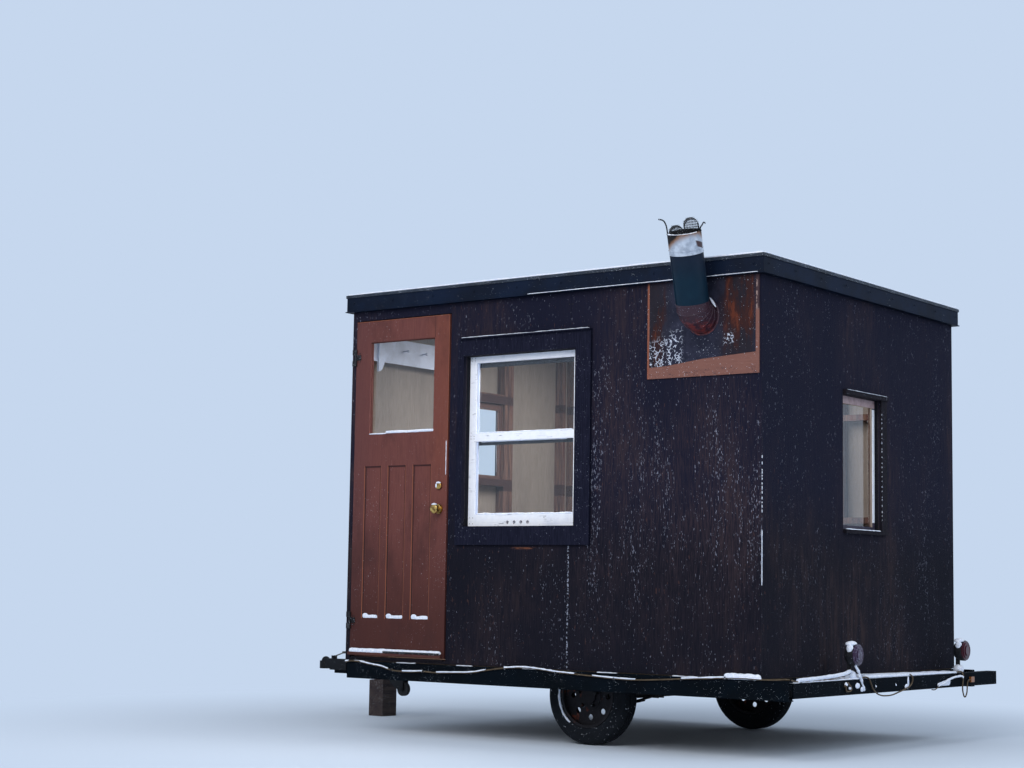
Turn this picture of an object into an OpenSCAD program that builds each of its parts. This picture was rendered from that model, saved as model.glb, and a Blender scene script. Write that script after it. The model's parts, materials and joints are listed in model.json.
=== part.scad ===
// Ice fishing hut: a stained plywood cabin on a two-wheeled steel trailer.
// Millimetres, +Z up. The door wall faces -Y and the tongue points to -X.

/* [Hut] */
// Length of the hut along its door wall
hut_len = 2850; // [2700:10:3200]
// Width of the hut from the door wall to the back wall
hut_wid = 2350; // [2200:10:2450]
// Top of the roof sheet above the ground
roof_top = 2624; // [2560:1:2700]
// Thickness of the plywood siding
siding = 12; // [9:1:15]
// Width of a stud
stud_w = 38; // [32:1:45]
// Depth of a stud
stud_d = 64; // [50:1:90]
// Height of the fascia
fascia_h = 105; // [80:1:130]
// How far the fascia stands out from the walls
overhang = 30; // [20:1:45]

/* [Door] */
// Distance from the flue corner to the latch edge of the door
door_from_corner = 2086; // [2060:1:2090]
// Width of the door leaf
door_w = 727; // [700:1:730]
// Height of the door leaf
door_h = 2008; // [1950:1:2010]
// Thickness of the door leaf
door_t = 35; // [30:1:40]
// Gap round the door leaf
door_gap = 6; // [5:1:8]

/* [Windows] */
// Width of the front window opening
front_win_w = 793; // [700:1:800]
// Height of the front window opening
front_win_h = 988; // [900:1:1000]
// Width of the right end window opening
right_win_w = 453; // [400:1:500]
// Height of the right end window opening
right_win_h = 751; // [650:1:800]
// Width of the left end window opening
left_win_w = 520; // [450:1:560]
// Height of the left end window opening
left_win_h = 500; // [450:1:560]
// Thickness of the window glass
glass_t = 4; // [3:1:6]

/* [Flue] */
// Outer radius of the stovepipe
flue_r = 89; // [80:1:95]
// Length of the black pipe above the elbow
flue_len = 266; // [220:1:300]
// Length of the bare top collar
collar_len = 114; // [90:1:140]
// Lean of the pipe away from the wall, in degrees
flue_lean = 21; // [5:1:24]
// Lean of the pipe along the wall, in degrees
flue_side_lean = 5; // [0:1:6]

/* [Trailer] */
// Top of the steel frame above the ground
frame_top = 415; // [400:1:430]
// Height of a side rail
rail_h = 100; // [80:1:110]
// Radius of a tyre
tyre_r = 270; // [250:1:280]
// Width of a tyre
tyre_w = 125; // [110:1:140]
// Distance from the flue corner to the axle
axle_from_corner = 1236; // [1150:1:1300]
// Distance of a tyre's middle plane from the wall above it
wheel_inset = 280; // [260:1:300]
// Distance from the flue corner to the tip of the coupler
coupler_from_corner = 4130; // [4000:1:4200]
// How far the light bar stands out from the right end wall
bar_out = 177; // [150:1:200]

/* [Hidden] */
hl = hut_len / 2;
hw = hut_wid / 2;
eps = 1;
joint = 0.4;

axle_x = hl - axle_from_corner;
wheel_y = hw - wheel_inset;
coupler_x = hl - coupler_from_corner;
lamp_front = 20;
bar_w = 60;
bar_end_y = hw + 215;

deck_t = 18;
deck_top = frame_top + deck_t;
plate_top = roof_top - fascia_h + 1;
sheet_t = 3;
roof_deck_t = 12;
rafter_top = roof_top - sheet_t - roof_deck_t;
siding_low = frame_top + 5;

door_right = hl - door_from_corner;
door_left = door_right - door_w;
door_low = frame_top + 34;
door_top = door_low + door_h;
door_out = 6;
jamb_left = door_left - 3;
jamb_right = door_right + door_gap + 1;
jamb_t = 18;
head_z = door_top + door_gap;
knuckle_r = 7;
hinge_x = door_left + 1;
hinge_off = knuckle_r + 0.5;
hinge_y = -hw - door_out - hinge_off;
hinge_h = 100;
hinge_low_z = door_low + 207;
hinge_high_z = door_top - 217;
knob_x = door_right - 56;
knob_z = door_low + 865;
bolt_z = knob_z + 136;

front_win_right = hl - 1175;
front_win_low = frame_top + 797;
right_win_y = -hw + 906;
right_win_low = frame_top + 802;
left_win_y = -hw + 915;
left_win_low = frame_top + 1160;
front_sash_t = 30;
end_sash_t = 20;
front_sash_in = 45;
end_sash_in = 33;
seam_x = hl - 1219;

flue_x = hl - 351;
flue_z = frame_top + 1902;
elbow_stub = 38;
elbow_r = 93;
elbow_turn = 90 - flue_lean;
elbow_end_y = -hw - elbow_stub - elbow_r * sin(elbow_turn);
elbow_end_z = flue_z + elbow_r * (1 - cos(elbow_turn));
pipe_wall = 2.5;
patch_low = frame_top + 1583;
patch_w = 692;
patch_t = 9;
shield_t = 2;

rail_low = frame_top - rail_h;
cross_h = 60;
cross_low = frame_top - cross_h;
spring_y = wheel_y - tyre_w / 2 - 68;
tongue_h = 88;
tongue_w = 60;
tongue_low = cross_low - tongue_h;
spindle_r = 16;
caster_r = 46;
caster_x = coupler_x + 800;
caster_y = -63;
caster_z = 188;
jack_trail = 75;
latch_x = coupler_x + 118;
latch_z = tongue_low + tongue_h + 16;
latch_tilt = 18;

// Middle of the whole outline, which becomes the origin
far_left = coupler_x;
far_right = hl + bar_out + lamp_front;
rim_along = flue_len + collar_len;
screen_turn = 37;
screen_depth = 14;
strap_t = 4;
strap_w = 16;
strap_x = flue_r + 1 - pipe_wall - 0.5 - strap_t / 2;
strap_tip = [strap_x + 40, 98];
strap_front = strap_tip[0] * sin(screen_turn) + strap_w / 2 * cos(screen_turn);
far_front = elbow_end_y - (rim_along - screen_depth + strap_tip[1] + 1) * sin(flue_lean)
  - strap_front * cos(flue_lean);
origin_x = (far_left + far_right) / 2;
origin_y = (far_front + bar_end_y) / 2;

// A box between two corners
module block(low, high) {
  translate(low) cube([high[0] - low[0], high[1] - low[1], high[2] - low[2]]);
}

// Puts the hut's own middle where it belongs under the shared origin
module place() {
  translate([-origin_x, -origin_y, 0]) children();
}

// A cylinder that lies along Y, centred on its middle
module across(r, w) {
  rotate([90, 0, 0]) cylinder(r = r, h = w, center = true, $fn = 64);
}

// A steel channel that lies along X, open towards +Y
module channel_x(x0, x1, face_y, low, high, depth, wall) {
  difference() {
    block([x0, face_y, low], [x1, face_y + depth, high]);
    block([x0 - eps, face_y + wall, low + wall], [x1 + eps, face_y + depth + eps, high - wall]);
  }
}

// Side rails, cross members and the inner rails that carry the springs
module trailer_frame() {
  rail_left = hl - 2810;
  rail_right = hl + bar_out;
  rail_depth = 50;
  inner_w = 50;
  color([0.10, 0.13, 0.12]) {
    channel_x(rail_left, rail_right, -hw - overhang, rail_low, frame_top, rail_depth, 6);
    mirror([0, 1, 0]) channel_x(rail_left, rail_right - bar_w - joint, -hw - overhang, rail_low, frame_top, rail_depth, 6);
    for (x = [rail_left, axle_x - 470, axle_x + 410, hl - cross_h])
      block([x, -hw - overhang + rail_depth + joint, cross_low],
            [x + cross_h, hw + overhang - rail_depth - joint, frame_top]);
    for (side = [-1, 1])
      block([axle_x - 410 + joint, side * spring_y - inner_w / 2, cross_low],
            [axle_x + 410 - joint, side * spring_y + inner_w / 2, frame_top]);
  }
}

// Square tube tongue under the cross members
module tongue() {
  tongue_end = axle_x - 410;
  color([0.10, 0.12, 0.12]) {
    difference() {
      block([coupler_x + 150, -tongue_w / 2, tongue_low], [tongue_end, tongue_w / 2, cross_low]);
      block([coupler_x + 150 - eps, -tongue_w / 2 + 5, tongue_low + 5],
            [tongue_end + eps, tongue_w / 2 - 5, cross_low - 5]);
    }
  }
}

// Ball coupler: a sleeve on the tongue and a domed socket, open below
module coupler() {
  socket_r = 25.8;
  nose_r = 42;
  nose_x = coupler_x + nose_r;
  top = tongue_low + tongue_h;
  color([0.12, 0.12, 0.13]) difference() {
    union() {
      translate([nose_x, 0, top - 62]) cylinder(r = nose_r, h = 52, $fn = 64);
      translate([nose_x, 0, top - 10]) sphere(r = 30, $fn = 64);
      block([nose_x, -nose_r + 8, top - 58], [coupler_x + 152, nose_r - 8, top + 6]);
      block([coupler_x + 110, -tongue_w / 2 - 6, tongue_low + 20],
            [coupler_x + 260, tongue_w / 2 + 6, top + 6]);
    }
    translate([nose_x, 0, top - 63]) cylinder(r = socket_r, h = 40, $fn = 64);
    translate([nose_x, 0, top - 23]) sphere(r = socket_r, $fn = 64);
    block([coupler_x + 150 - eps, -tongue_w / 2 - joint, tongue_low],
          [coupler_x + 261, tongue_w / 2 + joint, top]);
    translate([latch_x, 0, latch_z]) across(17, 20);
  }
  color([0.12, 0.12, 0.13]) {
    for (side = [-1, 1]) block([latch_x - 12, side * 13 - 3, top + 5], [latch_x + 12, side * 13 + 3, latch_z + 12]);
    translate([latch_x, 0, latch_z]) across(4, 30);
  }
}

// Latch lever that lifts at its back end
module coupler_latch() {
  color([0.35, 0.33, 0.30]) translate([latch_x, 0, latch_z]) rotate([0, -latch_tilt, 0]) difference() {
    union() {
      across(10, 14);
      block([0, -6, 2], [100, 6, 8]);
      translate([100, 0, 5]) across(8, 34);
    }
    across(4.06, 40);
  }
}

// Upright swivel jack, wound up, on the side of the tongue
module jack() {
  tube_low = caster_z + 74;
  tube_high = tube_low + 420;
  fork_top = caster_z + caster_r + 12;
  color([0.08, 0.08, 0.09]) translate([caster_x - jack_trail, caster_y, 0]) {
    translate([0, 0, tube_low]) cylinder(r = 28, h = tube_high - tube_low, $fn = 48);
    translate([0, 0, fork_top - 2]) cylinder(r = 21, h = tube_low - fork_top + 4, $fn = 48);
    translate([0, 0, tube_high]) cylinder(r = 32, h = 9, $fn = 48);
    // Plate and lugs that clamp it to the tongue
    block([-50, -tongue_w / 2 - 8 - caster_y, tongue_low - 4], [50, -tongue_w / 2 - caster_y, cross_low + 4]);
    // Fork over the wheel
    block([-26, -27, fork_top - 6], [jack_trail + 16, 27, fork_top]);
    for (side = [-1, 1]) translate([0, side * 24 + 3, 0]) rotate([90, 0, 0]) linear_extrude(6) polygon([
      [-26, fork_top - 1], [-20, fork_top - 24], [jack_trail - 15, caster_z - 13], [jack_trail + 13, caster_z - 13],
      [jack_trail + 16, fork_top - 1]
    ]);
    translate([jack_trail, 0, caster_z]) across(7, 60);
    // Crank on top, with its grip up
    translate([0, 0, tube_high]) cylinder(r = 9, h = 34, $fn = 32);
    block([-8, -9, tube_high + 24], [118, 9, tube_high + 33]);
    translate([108, 0, tube_high + 24]) cylinder(r = 12, h = 82, $fn = 32);
  }
}

// Small wheel of the jack
module jack_wheel() {
  color([0.05, 0.05, 0.05]) translate([caster_x, caster_y, caster_z]) difference() {
    union() {
      across(caster_r, 26);
      across(16, 36);
    }
    across(7.06, 60);
  }
}

// Timber block and steel saddle under the tongue
module wood_block() {
  block_x = coupler_x + 505;
  block_len = 120;
  half_w = 70;
  top = tongue_low - 30;
  color([0.25, 0.19, 0.13]) {
    block([block_x, -half_w, 0], [block_x + block_len, half_w, top / 2]);
    block([block_x, -half_w, top / 2 + joint], [block_x + block_len, half_w, top]);
    block([block_x + 30, -45, top + joint], [block_x + block_len - 10, 45, tongue_low]);
  }
}

// Axle tube with a spindle at each end
module axle() {
  color([0.11, 0.11, 0.11]) translate([axle_x, 0, tyre_r]) {
    across(30, 2 * wheel_y - 68);
    across(spindle_r, 2 * wheel_y + 60);
  }
}

// One leaf of a spring: a shallow arc
module leaf(half, rise, z, w, t) {
  r = (half * half + rise * rise) / (2 * rise);
  a = asin(half / r);
  translate([0, w / 2, z + r]) rotate([90, 0, 0]) linear_extrude(w) rotate(-90 - a)
    difference() {
      intersection() {
        circle(r = r + t, $fn = 180);
        polygon([[0, 0], [2 * r, 0], [2 * r * cos(a), 2 * r * sin(a)], [2 * r * cos(2 * a), 2 * r * sin(2 * a)]]);
      }
      circle(r = r, $fn = 180);
    }
}

// Spring packs slung under the axle, with hangers and clamp plates
module leaf_springs() {
  leaf_t = 8;
  leaf_w = 45;
  eye_r = 15;
  half = 345;
  rise = 62;
  pack_z = tyre_r - 30 - 10;
  color([0.13, 0.12, 0.11]) for (side = [-1, 1]) translate([axle_x, side * spring_y, 0]) {
    leaf(half, rise, pack_z, leaf_w, leaf_t);
    leaf(250, rise * 0.525, pack_z - leaf_t, leaf_w, leaf_t);
    leaf(150, rise * 0.19, pack_z - 2 * leaf_t, leaf_w, leaf_t);
    for (end = [-1, 1]) translate([end * (half + 6), 0, 0]) {
      translate([0, 0, pack_z + rise - 4]) across(eye_r, leaf_w);
      for (flank = [-1, 1])
        block([-20, flank * (leaf_w / 2 + 3.5) - 3, pack_z + rise - 22], [20, flank * (leaf_w / 2 + 3.5) + 3, cross_low]);
      translate([0, 0, pack_z + rise - 4]) across(7, leaf_w + 22);
    }
    block([-55, -32, pack_z - 3 * leaf_t - 8], [55, 32, pack_z - 2 * leaf_t + 1]);
    block([-45, -24, pack_z - leaf_t], [45, 24, pack_z + 10]);
    for (end = [-1, 1], flank = [-1, 1])
      translate([end * 38, flank * 27, pack_z - 40]) cylinder(r = 5, h = 100, $fn = 24);
  }
}

// Tyre with rounded shoulders and tread grooves
module tyre(side) {
  half = tyre_w / 2;
  bead = 176;
  color([0.05, 0.05, 0.05]) translate([axle_x, side * wheel_y, tyre_r]) rotate([90, 0, 0])
    rotate_extrude($fn = 96) difference() {
      union() {
        translate([bead, -half + 14]) square([tyre_r - 12 - bead, tyre_w - 28]);
        translate([bead + 12, -half]) square([tyre_r - bead - 46, tyre_w]);
        translate([tyre_r - 34, -half + 34]) circle(r = 34, $fn = 48);
        translate([tyre_r - 34, half - 34]) circle(r = 34, $fn = 48);
        translate([bead + 12, -half + 12]) circle(r = 12, $fn = 32);
        translate([bead + 12, half - 12]) circle(r = 12, $fn = 32);
        translate([tyre_r - 34, -half + 34]) square([34, tyre_w - 68]);
      }
      for (groove = [-22, 0, 22]) translate([tyre_r - 7, groove - 3]) square([10, 6]);
    }
}

// Steel wheel with rim flanges, a dished centre and a hub
module wheel_rim(side) {
  half = tyre_w / 2;
  bead = 176 - joint;
  color([0.25, 0.16, 0.12]) translate([axle_x, side * wheel_y, tyre_r]) rotate([side * 90, 0, 0]) difference() {
    union() {
      rotate_extrude($fn = 96) union() {
        translate([bead - 8, -half + 12]) square([8, tyre_w - 24]);
        translate([bead - 14, -half + 4]) square([14, 9]);
        translate([bead - 14, half - 13]) square([14, 9]);
      }
      translate([0, 0, -20]) cylinder(r = bead - 6, h = 8, $fn = 96);
      translate([0, 0, -44]) cylinder(r = 44, h = 74, $fn = 64);
      translate([0, 0, -28]) cylinder(r = 72, h = 10, $fn = 64);
    }
    translate([0, 0, -34]) cylinder(r = spindle_r + 0.06, h = tyre_w, $fn = 64);
    for (i = [0:7]) rotate(45 * i) translate([118, 0, -24]) cylinder(r = 16, h = 16, $fn = 32);
  }
}

// Channel across the back of the trailer that carries the lamps
module light_bar() {
  bar_h = 78;
  bar_low = frame_top - 88;
  bar_y0 = -hw - overhang + 50 + joint;
  x1 = hl + bar_out;
  color([0.10, 0.13, 0.12]) {
    difference() {
      block([x1 - bar_w, bar_y0, bar_low], [x1, bar_end_y, bar_low + bar_h]);
      block([x1 - bar_w - eps, bar_y0 - eps, bar_low + 6], [x1 - 6, bar_end_y + eps, bar_low + bar_h - 6]);
      for (y = [-hw + 945, -hw + 1190])
        translate([x1 - 10, y, bar_low + bar_h / 2]) rotate([0, 90, 0]) cylinder(r = 9, h = 20, $fn = 32);
    }
    for (y = [-spring_y, spring_y])
      block([hl, y - 30, bar_low + 28], [x1 - bar_w + eps, y + 30, bar_low + 68]);
  }
}

lamp_y = [-hw + 720, -hw + 2106];
lamp_z = frame_top + 121;
lamp_r = 56;

// Bowl-shaped lamp bodies on bent strap brackets
module lamp_housings() {
  x1 = hl + bar_out;
  foot_top = frame_top - 10;
  rim = lamp_r + 4;
  depth = 60;
  color([0.13, 0.13, 0.13]) for (y = lamp_y) {
    translate([x1 + 2 - depth, y, lamp_z]) rotate([0, 90, 0]) rotate_extrude($fn = 64) polygon([
      [0, 0], [rim - 30, 0], [rim - 15, 5], [rim - 6, 15], [rim - 1, 30], [rim, 46], [rim, depth], [0, depth]
    ]);
    block([x1 - 56, y - 6, foot_top], [x1 - 30, y + 60, foot_top + 6]);
    block([x1 - 56, y - 6, foot_top], [x1 - 30, y, lamp_z - 20]);
  }
}

// Red lenses with a stepped dome, and the small marker lamp
module lamp_lenses() {
  x1 = hl + bar_out;
  color([0.45, 0.06, 0.05]) {
    for (y = lamp_y) translate([x1 + 2, y, lamp_z]) rotate([0, 90, 0]) {
      cylinder(r = lamp_r, h = 8, $fn = 64);
      cylinder(r = lamp_r - 9, h = 13, $fn = 64);
      cylinder(r = lamp_r - 25, h = lamp_front - 2, $fn = 64);
    }
    block([x1, lamp_y[1] + 60, frame_top - 66], [x1 + 14, lamp_y[1] + 105, frame_top - 34]);
  }
}

// Route of the wiring: each entry is distance from the flue corner, distance out, height
cable_front = [
  [2817, -1145, 330], [2817, -1120, 330], [2817, -1060, 352], [2817, -900, 368], [2817, -700, 360],
  [2817, -480, 372], [2817, -260, 362], [2817, -80, 384], [2817, 0, 400], [2818, 26, 408],
  [2815, 36, 411], [2808, 38, 412], [2790, 37, 414], [2750, 37, 416], [2700, 37, 413], [2646, 37, 405],
  [2590, 37, 398],
  [2534, 37, 392], [2480, 37, 378], [2368, 37, 368], [2290, 37, 370], [2216, 37, 374], [2111, 37, 371],
  [1980, 37, 376], [1857, 37, 382], [1755, 37, 398], [1620, 37, 416], [1481, 37, 424], [1370, 37, 418],
  [1264, 37, 408], [1140, 37, 402], [1020, 37, 396], [880, 37, 389], [742, 37, 387], [600, 37, 394],
  [454, 37, 404], [320, 37, 412], [188, 37, 420], [80, 37, 422], [-24, 37, 420], [-100, 35, 421],
  [-145, 22, 424], [-162, -8, 423]
];
// Each entry is distance out from the right end wall, distance in from the door wall, height
cable_side = [
  [165, 24, 421], [166, 60, 413], [166, 120, 411], [166, 260, 411], [166, 420, 411], [166, 580, 411], [166, 700, 411],
  [168, 790, 411], [175, 825, 415], [184, 845, 407], [187, 860, 386], [186, 885, 356], [186, 920, 332],
  [186, 975, 315], [186, 1043, 309], [186, 1120, 311], [186, 1200, 323], [186, 1290, 339], [186, 1350, 355],
  [186, 1378, 380], [185, 1376, 405], [177, 1368, 415], [168, 1382, 411], [166, 1500, 411], [166, 1700, 411],
  [166, 1900, 411], [168, 2010, 411], [175, 2042, 415], [184, 2056, 407], [187, 2056, 370], [188, 2046, 325],
  [189, 2052, 288], [190, 2072, 266], [191, 2094, 282], [191, 2104, 312], [189, 2110, 338], [186, 2128, 357],
  [184, 2146, 363], [184, 2165.6, 363]
];
// A branch that comes up from under the light bar, with entries like those above
branch_side = [
  [158, 1686, 320], [176, 1689, 320], [184, 1697, 327], [186, 1716, 336], [187, 1784, 349], [187, 1850, 366], [187, 1903, 377], [187, 1980, 383],
  [187, 2030, 384], [187, 2052, 378]
];
cable_points = concat(
  [for (p = cable_front) [hl - p[0], -hw - p[1], p[2]]],
  [for (p = cable_side) [hl + p[0], -hw + p[1], p[2]]]
);
branch_points = [for (p = branch_side) [hl + p[0], -hw + p[1], p[2]]];

function unit(v) = v / norm(v);
function along(points, i) =
  unit(points[min(i + 1, len(points) - 1)] - points[max(i - 1, 0)]);
function ring(points, i, r, sides) =
  let (d = along(points, i), side = unit(cross(d, [0, 0, 1])), up = cross(side, d))
  [for (k = [0:sides - 1]) points[i] + r * (cos(360 * k / sides) * side + sin(360 * k / sides) * up)];

// A round tube swept along points
module tube(points, r, sides) {
  n = len(points);
  rings = [for (i = [0:n - 1]) each ring(points, i, r, sides)];
  walls = [for (i = [0:n - 2], k = [0:sides - 1])
    [i * sides + k, i * sides + (k + 1) % sides, (i + 1) * sides + (k + 1) % sides, (i + 1) * sides + k]];
  start_cap = [[for (k = [0:sides - 1]) sides - 1 - k]];
  end_cap = [[for (k = [0:sides - 1]) (n - 1) * sides + k]];
  polyhedron(rings, concat(walls, start_cap, end_cap));
}

// Wiring that runs along the front rail and the light bar
module wiring_cable() {
  color([0.35, 0.27, 0.16]) {
    tube(cable_points, 4, 8);
    tube(branch_points, 3, 8);
  }
}

wheel_box_len = 680;
wheel_box_w = 230;

// Plywood deck with a slot over each wheel
module floor_deck() {
  color([0.36, 0.28, 0.20]) difference() {
    block([-hl + siding, -hw + siding, frame_top], [hl - siding, hw - siding, deck_top]);
    for (side = [-1, 1])
      block([axle_x - wheel_box_len / 2, side * wheel_y - wheel_box_w / 2, frame_top - eps],
            [axle_x + wheel_box_len / 2, side * wheel_y + wheel_box_w / 2, deck_top + eps]);
  }
}

// Boxes in the floor that clear the tops of the tyres
module wheel_boxes() {
  box_top = 2 * tyre_r + 45;
  color([0.36, 0.28, 0.20]) for (side = [-1, 1]) translate([axle_x, side * wheel_y, 0]) difference() {
    block([-wheel_box_len / 2 - 12, -wheel_box_w / 2 - 12, deck_top],
          [wheel_box_len / 2 + 12, wheel_box_w / 2 + 12, box_top + 12]);
    block([-wheel_box_len / 2, -wheel_box_w / 2, deck_top - eps], [wheel_box_len / 2, wheel_box_w / 2, box_top]);
  }
}

// The front window's opening, cut through whatever it passes
module front_window_cut() {
  block([front_win_right - front_win_w, -hw - 50, front_win_low],
        [front_win_right, -hw + 100, front_win_low + front_win_h]);
}

// Siding beside and over the door
module front_wall_door_surround() {
  color([0.10, 0.07, 0.06]) {
    block([-hl, -hw, siding_low], [jamb_left, -hw + siding, rafter_top]);
    block([jamb_left + joint, -hw, head_z], [jamb_right - joint, -hw + siding, rafter_top]);
  }
}

// Siding from the door to the seam under the window
module front_wall_window_panel() {
  color([0.10, 0.07, 0.06]) difference() {
    block([jamb_right, -hw, siding_low], [seam_x - 1, -hw + siding, rafter_top]);
    front_window_cut();
  }
}

// Siding from the seam to the flue corner, with the flue's hole
module front_wall_corner_panel() {
  color([0.10, 0.07, 0.06]) difference() {
    block([seam_x + 1, -hw, siding_low], [hl, -hw + siding, rafter_top]);
    front_window_cut();
    translate([flue_x, -hw + siding / 2, flue_z]) across(flue_r + 3, 60);
  }
}

// Back wall siding in two sheets' width, with no opening
module back_wall() {
  color([0.10, 0.07, 0.06]) {
    block([-hl, hw - siding, siding_low], [seam_x - 1, hw, rafter_top]);
    block([seam_x + 1, hw - siding, siding_low], [hl, hw, rafter_top]);
  }
}

// Left end wall siding with its window
module left_end_wall() {
  color([0.10, 0.07, 0.06]) difference() {
    block([-hl, -hw + siding, siding_low], [-hl + siding, hw - siding, rafter_top]);
    block([-hl - eps, left_win_y, left_win_low], [-hl + 100, left_win_y + left_win_w, left_win_low + left_win_h]);
  }
}

// Right end wall siding with its window
module right_end_wall() {
  color([0.10, 0.07, 0.06]) difference() {
    block([hl - siding, -hw + siding, siding_low], [hl, hw - siding, rafter_top]);
    block([hl - 100, right_win_y, right_win_low], [hl + eps, right_win_y + right_win_w, right_win_low + right_win_h]);
  }
}

inner_face = siding + stud_d;
plate_h = stud_w;
stud_low = deck_top + plate_h + joint;
stud_high = plate_top - plate_h - joint;

// A member of the door wall or, turned round, of the back wall
module long_member(x0, x1, z0, z1) {
  block([x0, -hw + siding, z0], [x1, -hw + inner_face, z1]);
}

// A member of the left end wall or, turned round, of the right one
module end_member(y0, y1, z0, z1) {
  block([-hl + siding, y0, z0], [-hl + inner_face, y1, z1]);
}

// Frame round an end window: side studs, header and sill
module end_window_frame(y0, w, z0, h) {
  side_w = 95;
  end_member(y0 - side_w, y0, stud_low, stud_high);
  end_member(y0 + w, y0 + w + side_w, stud_low, stud_high);
  end_member(y0 + joint, y0 + w - joint, z0 + h, z0 + h + 64);
  end_member(y0 + joint, y0 + w - joint, z0 - 45, z0);
}

// Exposed studs and plates on the inside of the siding
module wall_framing() {
  stud_right = jamb_right + jamb_t + joint;
  win_left = front_win_right - front_win_w;
  win_top = front_win_low + front_win_h;
  end_y0 = -hw + inner_face + joint;
  color([0.33, 0.20, 0.15]) {
    // Door wall
    long_member(-hl + siding, hl - siding, plate_top - plate_h, plate_top);
    long_member(stud_right, hl - siding, deck_top, deck_top + plate_h);
    long_member(stud_right, stud_right + stud_w, stud_low, stud_high);
    long_member(win_left - stud_w, win_left, stud_low, stud_high);
    long_member(front_win_right, front_win_right + stud_w, stud_low, stud_high);
    long_member(win_left + joint, front_win_right - joint, win_top, win_top + 60);
    long_member(win_left + joint, front_win_right - joint, front_win_low - 38, front_win_low);
    long_member(win_left + 380, win_left + 380 + stud_w, stud_low, front_win_low - 38 - joint);
    for (x = [front_win_right + 360, front_win_right + 690, hl - siding - stud_w])
      long_member(x, x + stud_w, stud_low, stud_high);
    // Back wall, with two girts between its studs
    rotate(180) {
      long_member(-hl + siding, hl - siding, plate_top - plate_h, plate_top);
      long_member(-hl + siding, hl - siding, deck_top, deck_top + plate_h);
      for (i = [0:4]) long_member(-hl + siding + i * 697, -hl + siding + i * 697 + stud_w, stud_low, stud_high);
      for (i = [0:3], z = [frame_top + 885, frame_top + 1535])
        long_member(-hl + siding + i * 697 + stud_w + joint, -hl + siding + (i + 1) * 697 - joint, z, z + stud_w);
    }
    // Left end wall
    end_member(end_y0, -end_y0, plate_top - plate_h, plate_top);
    end_member(end_y0, -end_y0, deck_top, deck_top + plate_h);
    for (y = [end_y0, -hw + 2097, -end_y0 - stud_w])
      end_member(y, y + stud_w, stud_low, stud_high);
    end_window_frame(left_win_y, left_win_w, left_win_low, left_win_h);
    // Right end wall, turned half round
    rotate(180) {
      end_member(end_y0, -end_y0, plate_top - plate_h, plate_top);
      end_member(end_y0, -end_y0, deck_top, deck_top + plate_h);
      for (y = [end_y0, -hw + 440, -hw + 1840, -end_y0 - stud_w])
        end_member(y, y + stud_w, stud_low, stud_high);
      end_window_frame(-right_win_y - right_win_w, right_win_w, right_win_low, right_win_h);
    }
  }
}

// Rafters that span from the door wall to the back wall
module rafters() {
  count = 6;
  step = (2 * (hl - siding) - stud_w) / count;
  color([0.55, 0.45, 0.35]) for (i = [0:count])
    block([-hl + siding + i * step, -hw + siding, plate_top], [-hl + siding + i * step + stud_w, hw - siding, rafter_top]);
}

// Plywood roof deck
module roof_deck() {
  color([0.55, 0.45, 0.35]) block([-hl, -hw, rafter_top], [hl, hw, rafter_top + roof_deck_t]);
}

// Metal roof sheet with a turned-down edge over the fascia
module roof_sheet() {
  lip = overhang + 5;
  drop = 14;
  color([0.18, 0.22, 0.24]) difference() {
    block([-hl - lip, -hw - lip, roof_top - sheet_t - drop], [hl + lip, hw + lip, roof_top]);
    block([-hl - lip + 3, -hw - lip + 3, roof_top - sheet_t - drop - eps], [hl + lip - 3, hw + lip - 3, roof_top - sheet_t]);
  }
}

// Fascia profile: a flat face with a small lip along its lower edge
module fascia_run(length) {
  low = roof_top - fascia_h;
  high = roof_top - sheet_t - joint;
  cut = overhang + 8;
  difference() {
    rotate([90, 0, 90]) linear_extrude(length + 2 * cut, center = true) polygon([
      [0, low], [-overhang - 7, low], [-overhang - 7, low + 5], [-overhang, low + 5], [-overhang, high], [0, high]
    ]);
    for (end = [-1, 1]) translate([end * (length / 2 - joint), 0, 0]) rotate(end * 45)
      translate([end > 0 ? 0 : -200, -200, low - eps]) cube([200, 400, fascia_h + 2 * eps]);
  }
}

// Four mitred fascia boards
module fascia() {
  color([0.16, 0.20, 0.22]) {
    translate([0, -hw, 0]) fascia_run(hut_len);
    rotate(180) translate([0, -hw, 0]) fascia_run(hut_len);
    rotate(90) translate([0, -hl, 0]) fascia_run(hut_wid);
    rotate(-90) translate([0, -hl, 0]) fascia_run(hut_wid);
  }
}

casing_t = 18;

// Head, sill and far casing of an end window, on the wall that faces +X
module end_window_trim(y0, w, z0, h) {
  board_w = 70;
  board_t = 12;
  block([hl, y0, z0 + h + joint], [hl + 22, y0 + w + board_w, z0 + h + 26]);
  block([hl, y0, z0 - 22], [hl + 20, y0 + w + board_w, z0 - joint]);
  block([hl, y0 + w, z0], [hl + board_t, y0 + w + board_w, z0 + h]);
}

// Flat boards round the front window with the drip cap above them, and the trims of the end windows
module window_casing() {
  left_w = 45;
  right_w = 105;
  head_h = 96;
  foot_h = 107;
  win_left = front_win_right - front_win_w;
  win_top = front_win_low + front_win_h;
  face = -hw - casing_t;
  color([0.08, 0.07, 0.07]) {
    block([win_left - left_w, face, win_top + joint], [front_win_right + right_w, -hw, win_top + head_h]);
    block([win_left - left_w, face, front_win_low - foot_h], [front_win_right + right_w, -hw, front_win_low - joint]);
    block([win_left - left_w, face, front_win_low], [win_left, -hw, win_top]);
    block([front_win_right, face, front_win_low], [front_win_right + right_w, -hw, win_top]);
    block([win_left - 22, -hw - 34, win_top + head_h + joint], [front_win_right + right_w, -hw, win_top + head_h + 8]);
    end_window_trim(right_win_y, right_win_w, right_win_low, right_win_h);
    rotate(180) end_window_trim(-left_win_y - left_win_w, left_win_w, left_win_low, left_win_h);
  }
}

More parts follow.
